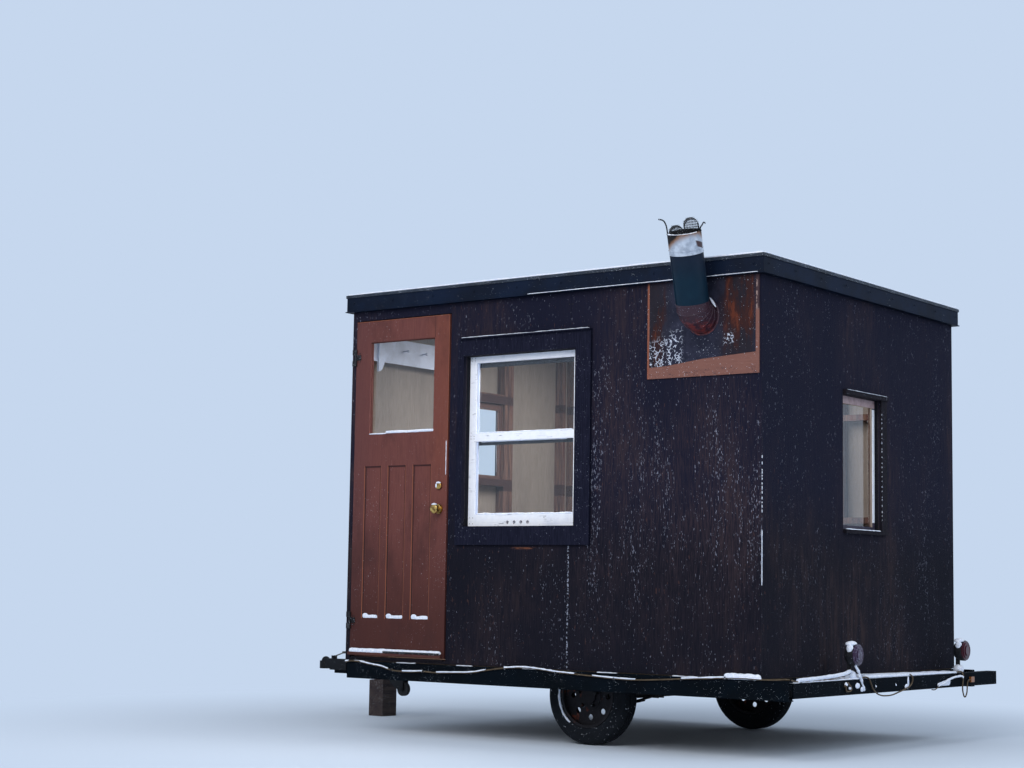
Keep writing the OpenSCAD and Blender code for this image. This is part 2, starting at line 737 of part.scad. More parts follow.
// A sash that lies in the XZ plane, rebated at the back for its glass
module sash(w, h, thick, stile, top, bottom) {
  rebate = 8;
  difference() {
    cube([w, thick, h]);
    block([stile, -eps, bottom], [w - stile, thick + eps, h - top]);
    block([stile - rebate, thick - rebate, bottom - rebate], [w - stile + rebate, thick + eps, h - top + rebate]);
  }
}

front_rail_bottom = 66;
front_rail_top = 36;
front_stile = 47;
front_bar_z = 490;
front_bar_h = 46;

// Old storm sash with a meeting bar and vent holes in its bottom rail
module front_window_sash() {
  w = front_win_w - 4;
  h = front_win_h - 4;
  x0 = front_win_right - front_win_w + 2;
  color([0.80, 0.82, 0.84]) translate([x0, -hw + front_sash_in, front_win_low + 2]) difference() {
    union() {
      sash(w, h, front_sash_t, front_stile, front_rail_top, front_rail_bottom);
      block([front_stile - eps, 0, front_bar_z], [w - front_stile + eps, front_sash_t - 8, front_bar_z + front_bar_h]);
    }
    for (i = [0:3]) translate([w - 502 + i * 48, front_sash_t / 2, 22]) across(7, 60);
  }
}

end_stile = 28;
end_rail_top = 42;
end_rail_bottom = 22;

// Sashes of the two end windows
module end_window_sashes() {
  color([0.80, 0.82, 0.84]) {
    translate([hl - end_sash_in, right_win_y + 2, right_win_low + 2]) rotate(90)
      sash(right_win_w - 4, right_win_h - 4, end_sash_t, end_stile, end_rail_top, end_rail_bottom);
    translate([-hl + end_sash_in, left_win_y + left_win_w - 2, left_win_low + 2]) rotate(-90)
      sash(left_win_w - 4, left_win_h - 4, end_sash_t, end_stile, end_rail_top, end_rail_bottom);
  }
}

// One pane behind a sash, in the sash's own place
module pane(w, h, thick, stile, top, bottom) {
  tuck = 7;
  block([stile - tuck, thick - tuck, bottom - tuck], [w - stile + tuck, thick - tuck + glass_t, h - top + tuck]);
}

// Glass of the three windows
module window_glass() {
  x0 = front_win_right - front_win_w + 2;
  color([0.6, 0.7, 0.75, 0.4]) {
    translate([x0, -hw + front_sash_in, front_win_low + 2])
      pane(front_win_w - 4, front_win_h - 4, front_sash_t, front_stile, front_rail_top, front_rail_bottom);
    translate([hl - end_sash_in, right_win_y + 2, right_win_low + 2]) rotate(90)
      pane(right_win_w - 4, right_win_h - 4, end_sash_t, end_stile, end_rail_top, end_rail_bottom);
    translate([-hl + end_sash_in, left_win_y + left_win_w - 2, left_win_low + 2]) rotate(-90)
      pane(left_win_w - 4, left_win_h - 4, end_sash_t, end_stile, end_rail_top, end_rail_bottom);
  }
}

// Dark inner sash of the front window, screwed to the studs inside the room
module front_inner_sash() {
  thick = 20;
  stile = 40;
  over = 20;
  win_left = front_win_right - front_win_w;
  low = front_win_low - over;
  high = front_win_low + front_win_h + over;
  y0 = -hw + inner_face + joint;
  bar = [front_win_low + 472, front_win_low + 518];
  color([0.10, 0.15, 0.17]) difference() {
    block([win_left - over, y0, low], [front_win_right + over, y0 + thick, high]);
    block([win_left - over + stile, y0 - eps, front_win_low + 78], [front_win_right + over - stile, y0 + thick + eps, bar[0]]);
    block([win_left - over + stile, y0 - eps, bar[1]], [front_win_right + over - stile, y0 + thick + eps, high - 82]);
  }
}

// Board with pegs and a curved corner piece, high on the inside of the left end wall
module coat_board() {
  board_t = 6;
  low = frame_top + 1818;
  high = low + 154;
  x0 = -hl + inner_face + joint;
  peg_z = low + 85;
  color([0.60, 0.63, 0.68]) {
    block([x0, -hw + 84, low], [x0 + board_t, left_win_y - 2, high]);
    translate([x0 + board_t - eps, -hw, 0]) rotate([90, 0, 90]) linear_extrude(15) polygon([
      [135, high], [135, low - 62], [146, low - 62], [166, low - 48], [182, low - 16], [196, low + 16],
      [219, low + 50], [255, low + 84], [285, low + 118], [304, high]
    ]);
    for (y = [381, 560, 739]) translate([x0 + board_t - eps, -hw + y, peg_z]) {
      rotate([0, 90, 0]) cylinder(r = 5, h = 40, $fn = 24);
      translate([40, 0, 0]) sphere(r = 9, $fn = 32);
    }
  }
}

// Jambs, head and threshold of the doorway, with the stop behind the leaf
module door_frame() {
  stop_y = -hw - door_out + door_t + 5;
  stop_w = 12;
  inner = -hw + inner_face;
  color([0.20, 0.12, 0.10]) {
    block([-hl + siding + joint, -hw + siding + joint, deck_top + joint], [jamb_left, inner, plate_top - plate_h - joint]);
    block([jamb_left, stop_y, deck_top + joint], [jamb_left + stop_w + 3, stop_y + 20, head_z - joint]);
    block([jamb_right, -hw + siding + joint, deck_top + joint], [jamb_right + jamb_t, inner, plate_top - plate_h - joint]);
    block([jamb_right - stop_w - 7, stop_y, deck_top + joint], [jamb_right, stop_y + 20, head_z - joint]);
    block([jamb_left + joint, -hw + siding + joint, head_z], [jamb_right - joint, inner, plate_top - plate_h - joint]);
    block([jamb_left + 16, -hw - 8, deck_top + joint], [jamb_right - 20, inner, door_low - door_gap]);
    block([jamb_left + joint, -hw, siding_low], [jamb_right - joint, -hw + siding - joint, deck_top + 3]);
  }
}

hinge_levels = [hinge_low_z, hinge_high_z];

// Knuckles and pins fixed to the hinge jamb
module frame_hinges() {
  color([0.25, 0.22, 0.20]) for (z = hinge_levels) {
    translate([hinge_x, hinge_y, z - hinge_h / 2]) cylinder(r = 3, h = hinge_h, $fn = 32);
    for (end = [-1, 1]) translate([hinge_x, hinge_y, z + end * 34 - 16]) {
      cylinder(r = knuckle_r, h = 32, $fn = 48);
      block([-32, 3, 0], [-4, hinge_off + door_out, 32]);
    }
  }
}

panel_low = 222;
panel_high = 1128;
stile_w = 90;

// Panelled door leaf: one light above three tall panels
module door_leaf() {
  face = -hw - door_out;
  light_low = 1322;
  light_high = 1878;
  light_left = 115;
  light_w = 499;
  recess = 9;
  panel_w = [128, 137, 138];
  panel_x = [88, 272, 466];
  color([0.34, 0.13, 0.08]) translate([door_left, face, door_low]) difference() {
    cube([door_w, door_t, door_h]);
    block([light_left, -eps, light_low], [light_left + light_w, door_t + eps, light_high]);
    block([light_left - 10, door_t - 12, light_low - 10], [light_left + light_w + 10, door_t + eps, light_high + 10]);
    for (i = [0:2], back = [0, 1])
      block([panel_x[i], back ? door_t - recess : -eps, panel_low],
            [panel_x[i] + panel_w[i], back ? door_t + eps : recess, panel_high]);
    // Bore for the knob's shaft
    translate([knob_x - door_left, door_t / 2, knob_z - door_low]) across(10.06, 90);
  }
}

// Pane of the door's light
module door_glass() {
  color([0.6, 0.7, 0.75, 0.4]) translate([door_left, -hw - door_out, door_low])
    block([106, door_t - 11, 1313], [623, door_t - 11 + glass_t, 1887]);
}

// Sloped drip rail along the bottom of the door
module weather_bar() {
  color([0.30, 0.14, 0.10]) translate([door_left + 4, -hw - door_out, door_low + 4]) rotate([90, 0, 90])
    linear_extrude(door_w - 12) polygon([[0, 0], [-26, 0], [-26, 12], [-6, 32], [0, 32]]);
}

// Knuckles and leaves fixed to the door
module door_hinges() {
  color([0.25, 0.22, 0.20]) for (z = hinge_levels) translate([hinge_x, hinge_y, z - 16.5]) difference() {
    union() {
      cylinder(r = knuckle_r, h = 33, $fn = 48);
      block([2, 3, 0], [36, hinge_off, 33]);
    }
    translate([0, 0, -eps]) cylinder(r = 3.06, h = 40, $fn = 32);
  }
}

// Roses of the knob and the deadbolt on the door
module door_lock() {
  face = -hw - door_out;
  color([0.60, 0.45, 0.20]) {
    for (y = [face - 3, face + door_t + 3]) translate([knob_x, y, knob_z]) difference() {
      across(28, 6);
      across(10.06, 10);
    }
    translate([knob_x, face - 6, bolt_z]) across(21, 12);
    translate([knob_x, face - 13, bolt_z]) across(12, 4);
  }
}

// Brass knobs on one shaft through the leaf
module door_knob() {
  face = -hw - door_out;
  color([0.66, 0.50, 0.24]) translate([knob_x, face, knob_z]) {
    translate([0, door_t / 2, 0]) across(10, 100);
    for (end = [-1, 1]) translate([0, end > 0 ? door_t : 0, 0]) rotate([-90 * end, 0, 0])
      translate([0, 0, 8]) rotate_extrude($fn = 64) polygon([
        [0, 0], [13, 0], [12, 10], [15, 18], [24, 24], [28, 33], [27, 42], [20, 49], [8, 52], [0, 52]
      ]);
  }
}

// Painted plywood patch that the heat shield is fixed to
module flue_patch_panel() {
  color([0.45, 0.23, 0.17]) difference() {
    block([hl - 10 - patch_w, -hw - patch_t, patch_low], [hl - 10, -hw, roof_top - fascia_h - joint]);
    translate([flue_x, -hw, flue_z]) across(flue_r + 3, 60);
  }
}

// Rusty sheet over the patch, its lower edge cut at a slant
module heat_shield() {
  left = hl - 10 - patch_w + 14;
  right = hl - 10 - 20;
  color([0.28, 0.20, 0.17]) difference() {
    translate([0, -hw - patch_t, 0]) rotate([90, 0, 0]) linear_extrude(shield_t) polygon([
      [left, patch_low + 62], [left + 110, patch_low + 66], [left + 330, patch_low + 92],
      [right, patch_low + 112], [right, roof_top - fascia_h - 2], [left, roof_top - fascia_h - 2]
    ]);
    translate([flue_x, -hw, flue_z]) across(flue_r + 3, 60);
  }
}

// One gore of the elbow: a short tube cut by two mitre planes
module gore(angle, half, r, wall) {
  reach = 320;
  intersection() {
    translate([0, -elbow_r * sin(angle), elbow_r * (1 - cos(angle))]) rotate([90 - angle, 0, 0])
      difference() {
        cylinder(r = r, h = 2 * reach, center = true, $fn = 72);
        if (wall > 0) cylinder(r = r - wall, h = 2 * reach + 2, center = true, $fn = 72);
      }
    translate([-150, 0, elbow_r]) rotate([90, 0, 90]) linear_extrude(300) polygon([
      [0, 0], [-reach * sin(angle - half), -reach * cos(angle - half)],
      [-reach * sin(angle + half), -reach * cos(angle + half)]
    ]);
  }
}

// Gored stovepipe elbow with its stub through the wall and a ring on the shield
module stove_elbow() {
  gores = 4;
  step = elbow_turn / gores;
  color([0.26, 0.11, 0.10]) translate([flue_x, -hw, flue_z]) {
    difference() {
      across(flue_r, 2 * elbow_stub);
      across(flue_r - pipe_wall, 2 * elbow_stub + 20);
      block([-200, 0, -200], [200, 200, 200]);
    }
    difference() {
      translate([0, 20, 0]) across(flue_r, 120);
      translate([0, 20, 0]) across(flue_r - pipe_wall, 140);
      block([-200, -200, -200], [200, -eps / 2, 200]);
    }
    translate([0, -patch_t - shield_t - 1, 0]) difference() {
      across(flue_r + 14, 2);
      across(flue_r - 1, 4);
    }
    translate([0, -elbow_stub, 0]) rotate([0, flue_side_lean, 0]) {
      for (i = [0:gores - 1]) gore((i + 0.5) * step, step / 2, flue_r - 0.01 * i, pipe_wall);
    }
  }
}

// Places things on the pipe's own leaning axis, from the elbow's end
module on_pipe() {
  translate([flue_x, -hw - elbow_stub, flue_z]) rotate([0, flue_side_lean, 0])
    translate([0, -elbow_r * sin(elbow_turn), elbow_r * (1 - cos(elbow_turn))])
      rotate([90 - elbow_turn, 0, 0]) children();
}

// Black pipe above the elbow
module flue_pipe() {
  color([0.06, 0.13, 0.14]) on_pipe() difference() {
    translate([0, 0, joint]) cylinder(r = flue_r, h = flue_len - joint, $fn = 96);
    translate([0, 0, -eps]) cylinder(r = flue_r - pipe_wall, h = flue_len + 2 * eps, $fn = 96);
  }
}

// Bare metal collar on top of the pipe
module flue_collar() {
  color([0.62, 0.62, 0.60]) on_pipe() translate([0, 0, flue_len]) difference() {
    cylinder(r = flue_r + 1, h = collar_len, $fn = 96);
    translate([0, 0, -eps]) cylinder(r = flue_r + 1 - pipe_wall, h = collar_len + 2 * eps, $fn = 96);
  }
}

// A flat arch: straight legs under a half round
module arch(half, low, tall) {
  translate([-half, low]) square([2 * half, tall - low]);
  intersection() {
    translate([0, tall]) circle(r = half, $fn = 48);
    translate([-half - eps, tall - eps]) square([2 * (half + eps), half + 3 * eps]);
  }
}

// One hoop of the screen, as a band between two arches
module hoop(size, tall, wire) {
  rotate([90, 0, 0]) linear_extrude(wire, center = true) difference() {
    arch(size, 0, tall);
    arch(size - wire, -eps, tall);
  }
}

// The way out to the left of the line from a to b
function left_of(a, b) = [a[1] - b[1], b[0] - a[0]] / norm(b - a);

// The mitred way out to the left at one point of a line
function mitre(points, i) =
  let (before = left_of(points[max(i - 1, 0)], points[max(i, 1)]),
       after = i < len(points) - 1 ? left_of(points[i], points[i + 1]) : before)
  (before + after) / (1 + before * after);

// A flat strap that follows points in its own XZ plane
module strap(points, thick, width) {
  rotate([90, 0, 0]) linear_extrude(width, center = true) polygon(concat(
    [for (i = [0:len(points) - 1]) points[i] + mitre(points, i) * thick / 2],
    [for (i = [len(points) - 1:-1:0]) points[i] - mitre(points, i) * thick / 2]
  ));
}

// Wire screen of two rolls on two rods, held by two bent straps
module spark_screen() {
  wire = 2.5;
  bar = 1.7;
  reach = 72;
  rod_end = strap_x - strap_t / 2 - joint;
  color([0.20, 0.19, 0.18]) on_pipe() translate([0, 0, rim_along - screen_depth]) rotate(screen_turn) {
    for (roll = [0, 1]) translate([roll ? 41 : -39, 0, 0]) {
      size = roll ? 38 : 37;
      tall = roll ? 42 : 12;
      for (i = [-1.5:1.5]) translate([0, i * 22, 0]) hoop(size, tall, wire);
      for (a = [0:45:180])
        translate([(size - wire / 2) * cos(a), 0, tall + (size - wire / 2) * sin(a)])
          rotate([0, -a, 0]) cube([bar, reach, bar], center = true);
      for (x = [-size, size - wire]) block([x, -reach / 2, -2], [x + wire, reach / 2, 1]);
    }
    for (y = [-6, 6]) block([-rod_end, y - 1.5, -5], [rod_end, y + 1.5, -2 - joint]);
    strap([[-strap_x, -40], [-strap_x, 20], [-strap_x - 6, 72], [-strap_x - 16, 88], [-strap_tip[0], strap_tip[1]]],
          strap_t, strap_w);
    strap([[strap_x, -40], [strap_x, 22], [strap_x + 22, 50], [strap_x + 30, 42]], strap_t, strap_w);
  }
}

place() trailer_frame();
place() tongue();
place() coupler();
place() coupler_latch();
place() jack();
place() jack_wheel();
place() wood_block();
place() axle();
place() leaf_springs();
place() tyre(-1);  // front_tyre
place() wheel_rim(-1);  // front_wheel_rim
place() tyre(1);  // back_tyre
place() wheel_rim(1);  // back_wheel_rim
place() light_bar();
place() lamp_housings();
place() lamp_lenses();
place() wiring_cable();
place() floor_deck();
place() wheel_boxes();
place() front_wall_door_surround();
place() front_wall_window_panel();
place() front_wall_corner_panel();
place() back_wall();
place() left_end_wall();
place() right_end_wall();
place() wall_framing();
place() rafters();
place() roof_deck();
place() roof_sheet();
place() fascia();
place() window_casing();
place() front_window_sash();
place() end_window_sashes();
place() front_inner_sash();
place() coat_board();
place() window_glass();
place() door_frame();
place() frame_hinges();
place() door_leaf();
place() door_glass();
place() weather_bar();
place() door_hinges();
place() door_lock();
place() door_knob();
place() flue_patch_panel();
place() heat_shield();
place() stove_elbow();
place() flue_pipe();
place() flue_collar();
place() spark_screen();
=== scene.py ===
"""Ice fishing hut: the finishes of its surfaces and the small pieces on it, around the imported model."""

import json
import math
import random

import bmesh
import bpy
from mathutils import Matrix, Vector


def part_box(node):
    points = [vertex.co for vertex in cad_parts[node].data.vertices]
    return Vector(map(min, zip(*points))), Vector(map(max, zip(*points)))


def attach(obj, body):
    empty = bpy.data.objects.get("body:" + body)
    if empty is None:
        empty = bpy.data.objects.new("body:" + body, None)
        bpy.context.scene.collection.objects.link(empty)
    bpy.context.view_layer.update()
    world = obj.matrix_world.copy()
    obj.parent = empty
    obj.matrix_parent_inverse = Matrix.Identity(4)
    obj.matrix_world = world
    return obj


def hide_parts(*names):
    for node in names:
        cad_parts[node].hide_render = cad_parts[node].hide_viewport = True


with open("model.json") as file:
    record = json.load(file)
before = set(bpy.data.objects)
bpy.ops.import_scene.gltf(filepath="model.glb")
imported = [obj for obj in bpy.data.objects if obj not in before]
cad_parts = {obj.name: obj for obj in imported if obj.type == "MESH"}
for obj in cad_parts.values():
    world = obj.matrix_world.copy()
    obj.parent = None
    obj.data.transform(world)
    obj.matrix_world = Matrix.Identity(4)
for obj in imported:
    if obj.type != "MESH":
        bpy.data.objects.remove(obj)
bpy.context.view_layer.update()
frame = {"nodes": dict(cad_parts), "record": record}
draw = random.Random(7)

# Places of the frame, in metres

deck_low, deck_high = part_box("roof_deck")
MIDDLE = (deck_low + deck_high) / 2
SIDING = 0.012

# Places that several pieces share, in the hut's millimetres, as the function at() reads them

END_FACE = 1425
BACK_FACE = 1175
FRONT_FACE = -1175
ROOF_END = 1459
ROOF_SIDE = 1209
LEAF_LEFT = -1388
LEAF_FRONT = -1181
LOCK_LINE = -717
PANEL_LEFT = (88, 272, 466)
PANEL_WIDTH = (128, 137, 138)
SASH_FRONT = -1130
CASING_FRONT = -1193
BAR_TOP = 403
LAMPS_ACROSS = (-455, 931)


def at(x, y, z):
    """Millimetres from the middle of the roof, and above the ground, as a point of the frame."""
    return Vector((MIDDLE.x + x / 1000, MIDDLE.y + y / 1000, z / 1000))


def all_at(*places):
    """Several such points."""
    return [at(*place) for place in places]


# Shader nodes, in short words

BACKDROP = (198, 215, 238)
SNOW_WHITE = (226, 233, 247)
DULL_FROST = (158, 163, 184)
RUST_ORANGE = (118, 60, 40)
RUST_DARK = (60, 36, 36)


def screen_colour(red, green, blue):
    """A colour as a screen shows it, 0 to 255, as the light values that shaders use."""
    shares = [value / 255 for value in (red, green, blue)]
    lights = (share / 12.92 if share <= 0.04045 else ((share + 0.055) / 1.055) ** 2.4 for share in shares)
    return (*lights, 1.0)


def join(value, socket):
    """Links a value to a socket, or sets the socket to a number or to a colour as a screen shows it."""
    if isinstance(value, Value):
        value.tree.links.new(value.socket, socket)
    elif isinstance(value, tuple) and len(value) == 3:
        socket.default_value = screen_colour(*value)
    else:
        socket.default_value = value


def new_node(tree, kind, **settings):
    """A new node with its settings."""
    made = tree.nodes.new("ShaderNode" + kind)
    for label, value in settings.items():
        setattr(made, label, value)
    return made


def math_node(tree, task, first, second):
    """One Math node."""
    made = new_node(tree, "Math", operation=task)
    join(first, made.inputs[0])
    join(second, made.inputs[1])
    return Value(tree, made.outputs[0])


class Value:
    """A number, place or colour that comes out of a node; what is done with it adds the next node."""

    def __init__(self, tree, socket):
        self.tree = tree
        self.socket = socket

    def work_out(self, task, other=0.0):
        """One Math node with this value as its first number."""
        return math_node(self.tree, task, self, other)

    def __add__(self, other):
        return self.work_out("ADD", other)

    def __sub__(self, other):
        return self.work_out("SUBTRACT", other)

    def __rsub__(self, other):
        return math_node(self.tree, "SUBTRACT", other, self)

    def __mul__(self, other):
        return self.work_out("MULTIPLY", other)

    def __abs__(self):
        return self.work_out("ABSOLUTE")

    def above(self, limit):
        """1 where this value is more than a limit."""
        return self.work_out("GREATER_THAN", limit)

    def below(self, limit):
        """1 where this value is less than a limit."""
        return self.work_out("LESS_THAN", limit)

    def or_else(self, other):
        """The larger of two masks."""
        return self.work_out("MAXIMUM", other)

    def fade(self, start, end):
        """0 before start and 1 past end, with a smooth step between."""
        made = new_node(self.tree, "MapRange", interpolation_type="SMOOTHSTEP")
        join(self, made.inputs["Value"])
        join(start, made.inputs["From Min"])
        join(end, made.inputs["From Max"])
        return Value(self.tree, made.outputs["Result"])

    def blend(self, under, over):
        """This mask used as a share: under at 0, over at 1."""
        made = new_node(self.tree, "Mix", data_type="RGBA")
        join(self, made.inputs[0])
        join(under, made.inputs[6])
        join(over, made.inputs[7])
        return Value(self.tree, made.outputs[2])

    def stretched(self, *scale):
        """This place with its three axes scaled."""
        made = new_node(self.tree, "Mapping")
        join(self, made.inputs["Vector"])
        made.inputs["Scale"].default_value = scale
        return Value(self.tree, made.outputs["Vector"])

    def noise(self, scale, detail=4.0, rough=0.6):
        """Noise at this place."""
        made = new_node(self.tree, "TexNoise")
        join(self, made.inputs["Vector"])
        join(scale, made.inputs["Scale"])
        made.inputs["Detail"].default_value = detail
        made.inputs["Roughness"].default_value = rough
        return Value(self.tree, made.outputs["Fac"])

    def thin_lines(self, width):
        """Thin wandering lines, where this noise crosses its middle."""
        return abs(self - 0.5).fade(width, 0.3 * width)

    def effect(self, group, **values):
        """One shared effect at this place, with its own values."""
        made = new_node(self.tree, "Group", node_tree=group)
        join(self, made.inputs["Place"])
        for label, value in values.items():
            join(value, made.inputs[label])
        return {output.name: Value(self.tree, output) for output in made.outputs}


class Axis(Value):
    """One part of a place. Its steps are given in the hut's millimetres."""

    def __init__(self, tree, sockets, index):
        super().__init__(tree, sockets[index])
        self.index = index

    def past(self, start, end):
        """A step along the axis, from 0 at start to 1 at end."""
        return self.fade(at(start, start, start)[self.index], at(end, end, end)[self.index])

    def within(self, low, high, soft=4):
        """1 between two places on the axis, with soft ends."""
        return self.past(low - soft, low + soft) * self.past(high + soft, high - soft)


def reach(across, along):
    """The length of the way that two parts make."""
    return (across * across + along * along).work_out("SQRT")


def off_centre(x):
    """How far a place is from the hut's middle along its length."""
    return abs(x - MIDDLE.x)


def seen_directly(tree):
    """1 for the camera and for what gloss and glass show, 0 for the light on the object."""
    path = new_node(tree, "LightPath")
    rays = ("Is Camera Ray", "Is Glossy Ray", "Is Transmission Ray")
    camera, gloss, clear = (Value(tree, path.outputs[ray]) for ray in rays)
    return camera.or_else(gloss).or_else(clear)


def swap_shaders(tree, share, one, two, end="Material Output"):
    """One shader at share 0 and another at share 1, fed to the end of the tree."""
    swap = new_node(tree, "MixShader")
    join(share, swap.inputs["Fac"])
    tree.links.new(one.outputs[0], swap.inputs[1])
    tree.links.new(two.outputs[0], swap.inputs[2])
    tree.links.new(swap.outputs["Shader"], tree.nodes[end].inputs["Surface"])


# Camera and light

def place_camera():
    """The camera stands where the hut's straight edges in the photograph put it."""
    stand = at(6376, -9829.94, 871)
    heading = math.radians(-37.235)
    tilt = math.radians(6.039)
    roll = math.radians(0.912)
    focal_pixels = 1914.7
    picture_width = 1024
    ahead = Vector((math.sin(heading) * math.cos(tilt), math.cos(heading) * math.cos(tilt), math.sin(tilt)))
    level = Vector((math.cos(heading), -math.sin(heading), 0))
    above = level.cross(ahead)
    right = math.cos(roll) * level + math.sin(roll) * above
    up = math.cos(roll) * above - math.sin(roll) * level
    camera = bpy.data.objects.new("camera", bpy.data.cameras.new("camera"))
    camera.data.sensor_width = 36
    camera.data.lens = camera.data.sensor_width * focal_pixels / picture_width
    camera.data.clip_end = 400
    turn = Matrix((right, up, -ahead)).transposed()
    camera.matrix_world = Matrix.LocRotScale(stand, turn.to_quaternion(), None)
    bpy.context.collection.objects.link(camera)
    bpy.context.scene.camera = camera


def hang_lamp(name, place, aim, width, power, tint):
    """A square soft lamp that faces a point."""
    lamp = bpy.data.objects.new(name, bpy.data.lights.new(name, "AREA"))
    lamp.data.size = width
    lamp.data.energy = power
    lamp.data.color = tint
    lamp.matrix_world = Matrix.LocRotScale(place, (place - aim).to_track_quat("Z", "Y"), None)
    bpy.context.collection.objects.link(lamp)


def light_scene():
    """A pale sky all round, two broad lamps and a small one that fills the room."""
    world = bpy.data.worlds.new("pale_sky")
    bpy.context.scene.world = world
    world.use_nodes = True
    tree = world.node_tree
    sky = tree.nodes["Background"]
    sky.inputs["Color"].default_value = (0.86, 0.92, 1.0, 1)
    sky.inputs["Strength"].default_value = 0.62
    backdrop = new_node(tree, "Background")
    join(BACKDROP, backdrop.inputs["Color"])
    swap_shaders(tree, seen_directly(tree), sky, backdrop, "World Output")
    hut = at(0, 0, 1500)
    hang_lamp("front_lamp", at(1500, -9200, 6500), hut, 6, 560, (1.0, 0.97, 0.94))
    hang_lamp("side_lamp", at(9400, 1000, 6000), hut, 6, 270, (0.86, 0.93, 1.0))
    hang_lamp("room_lamp", at(0, 0, 2480), at(0, 0, 0), 1.6, 54, (1.0, 0.95, 0.89))


# Shared effects

def new_effect(name, inputs, outputs):
    """An empty node group with a Place and numbers going in and masks coming out."""
    group = bpy.data.node_groups.new(name, "ShaderNodeTree")
    group.interface.new_socket("Place", in_out="INPUT", socket_type="NodeSocketVector")
    for label, value in inputs.items():
        made = group.interface.new_socket(label, in_out="INPUT", socket_type="NodeSocketFloat")
        made.default_value = value
    for label in outputs:
        group.interface.new_socket(label, in_out="OUTPUT", socket_type="NodeSocketFloat")
    entry = group.nodes.new("NodeGroupInput")
    leave = group.nodes.new("NodeGroupOutput")
    given = [Value(group, entry.outputs[label]) for label in ("Place", *inputs)]
    return group, given, leave.inputs


def make_grain():
    """Wood grain: fine streaks and wide figure. Place is already stretched along the board."""
    group, (place, size), result = new_effect("wood grain", {"Size": 60.0}, ("Streak", "Figure"))
    join(place.noise(size, 6.0, 0.75).fade(0.38, 0.66), result["Streak"])
    join(place.noise(size * 0.22, 3.0).fade(0.35, 0.68), result["Figure"])
    return group


def make_rust():
    """Rust: a mask of blooms with ragged edges, and its own fine grain."""
    given = {"Size": 9.0, "Amount": 0.4}
    group, (place, size, amount), result = new_effect("rust bloom", given, ("Mask", "Grain"))
    limit = 0.80 - amount * 0.45
    join(place.noise(size, 8.0, 0.72).fade(limit, limit + 0.09), result["Mask"])
    join(place.noise(size * 14.0, 3.0, 0.7), result["Grain"])
    return group


def make_frost():
    """Frost: small white crumbs that cling where a noise is high."""
    given = {"Size": 260.0, "Amount": 0.1}
    group, (place, size, amount), result = new_effect("clinging frost", given, ("Mask",))
    both = place.noise(size, 2.0, 0.5) + place.noise(size * 0.03, 3.0) * 0.25
    limit = 0.90 - amount * 0.5
    join(both.fade(limit, limit + 0.04), result["Mask"])
    return group


GRAIN = make_grain()
RUST = make_rust()
FROST = make_frost()


class Paint:
    """One material while its nodes are laid: its shader and the place on the piece."""

    def __init__(self, name, roughness, shine=0.5):
        self.material = bpy.data.materials.new(name)
        self.material.use_nodes = True
        self.tree = self.material.node_tree
        self.shader = self.tree.nodes["Principled BSDF"]
        self.set("Roughness", roughness)
        self.set("Specular IOR Level", shine)
        self.place = Value(self.tree, new_node(self.tree, "TexCoord").outputs["Object"])
        self.colour = None

    def set(self, label, value):
        """Sets one of the shader's own inputs, or links a value to it."""
        join(value, self.shader.inputs[label])

    def axes(self, names="XYZ"):
        """The named parts of the place."""
        made = new_node(self.tree, "SeparateXYZ")
        join(self.place, made.inputs[0])
        return [Axis(self.tree, made.outputs, "XYZ".index(name)) for name in names]

    def grain(self, size, *run):
        """Wood grain, stretched along the board by run."""
        return self.place.stretched(*run).effect(GRAIN, Size=size)

    def coat(self, mask, tint):
        """Lays a tint over the colour so far, where a mask is 1."""
        self.colour = mask.blend(self.colour, tint)

    def frost(self, amount, size=260.0, share=1.0, tint=SNOW_WHITE, run=(1, 1, 1)):
        """Lays crumbs of frost over the colour so far, stretched by run."""
        crumbs = self.place.stretched(*run).effect(FROST, Size=size, Amount=amount)["Mask"]
        self.coat(crumbs * share, tint)

    def finish(self, height, depth, strength=0.5):
        """Feeds the colour and a relief to the shader, depth in metres, and gives the material."""
        self.set("Base Color", self.colour)
        bump = new_node(self.tree, "Bump")
        bump.inputs["Strength"].default_value = strength
        bump.inputs["Distance"].default_value = depth
        join(height, bump.inputs["Height"])
        self.set("Normal", Value(self.tree, bump.outputs["Normal"]))
        return self.material


# Finishes that several parts share

def wood(name, base, dark, pale, run, frost=0.0, depth=0.0012):
    """Sawn or lightly painted wood whose grain runs along one axis."""
    paint = Paint(name, 0.8, 0.2)
    along = {"X": (0.05, 1, 1), "Y": (1, 0.05, 1), "Z": (1, 1, 0.05)}[run]
    grain = paint.grain(90.0, *along)
    paint.colour = grain["Figure"].blend(base, dark)
    paint.coat(grain["Streak"] * 0.5, pale)
    if frost:
        paint.frost(frost)
    return paint.finish(grain["Streak"], depth, 0.6)


def painted_steel(name, base, rust, rough=0.5, frost=0.06, size=9.0, metal=0.0, shine=0.3):
    """Painted steel with rust blooms, dulled patches and a little frost."""
    paint = Paint(name, rough, shine)
    paint.set("Metallic", metal)
    bloom = paint.place.effect(RUST, Size=size, Amount=rust)
    full = screen_colour(*base)
    deep = tuple(0.55 * part for part in full[:3]) + (1.0,)
    paint.colour = paint.place.noise(5.0, 5.0).fade(0.35, 0.65).blend(deep, full)
    paint.coat(bloom["Mask"], bloom["Grain"].blend(RUST_DARK, RUST_ORANGE))
    paint.frost(frost)
    paint.set("Roughness", bloom["Mask"] * 0.35 + rough)
    return paint.finish(bloom["Mask"] + bloom["Grain"], 0.0008)


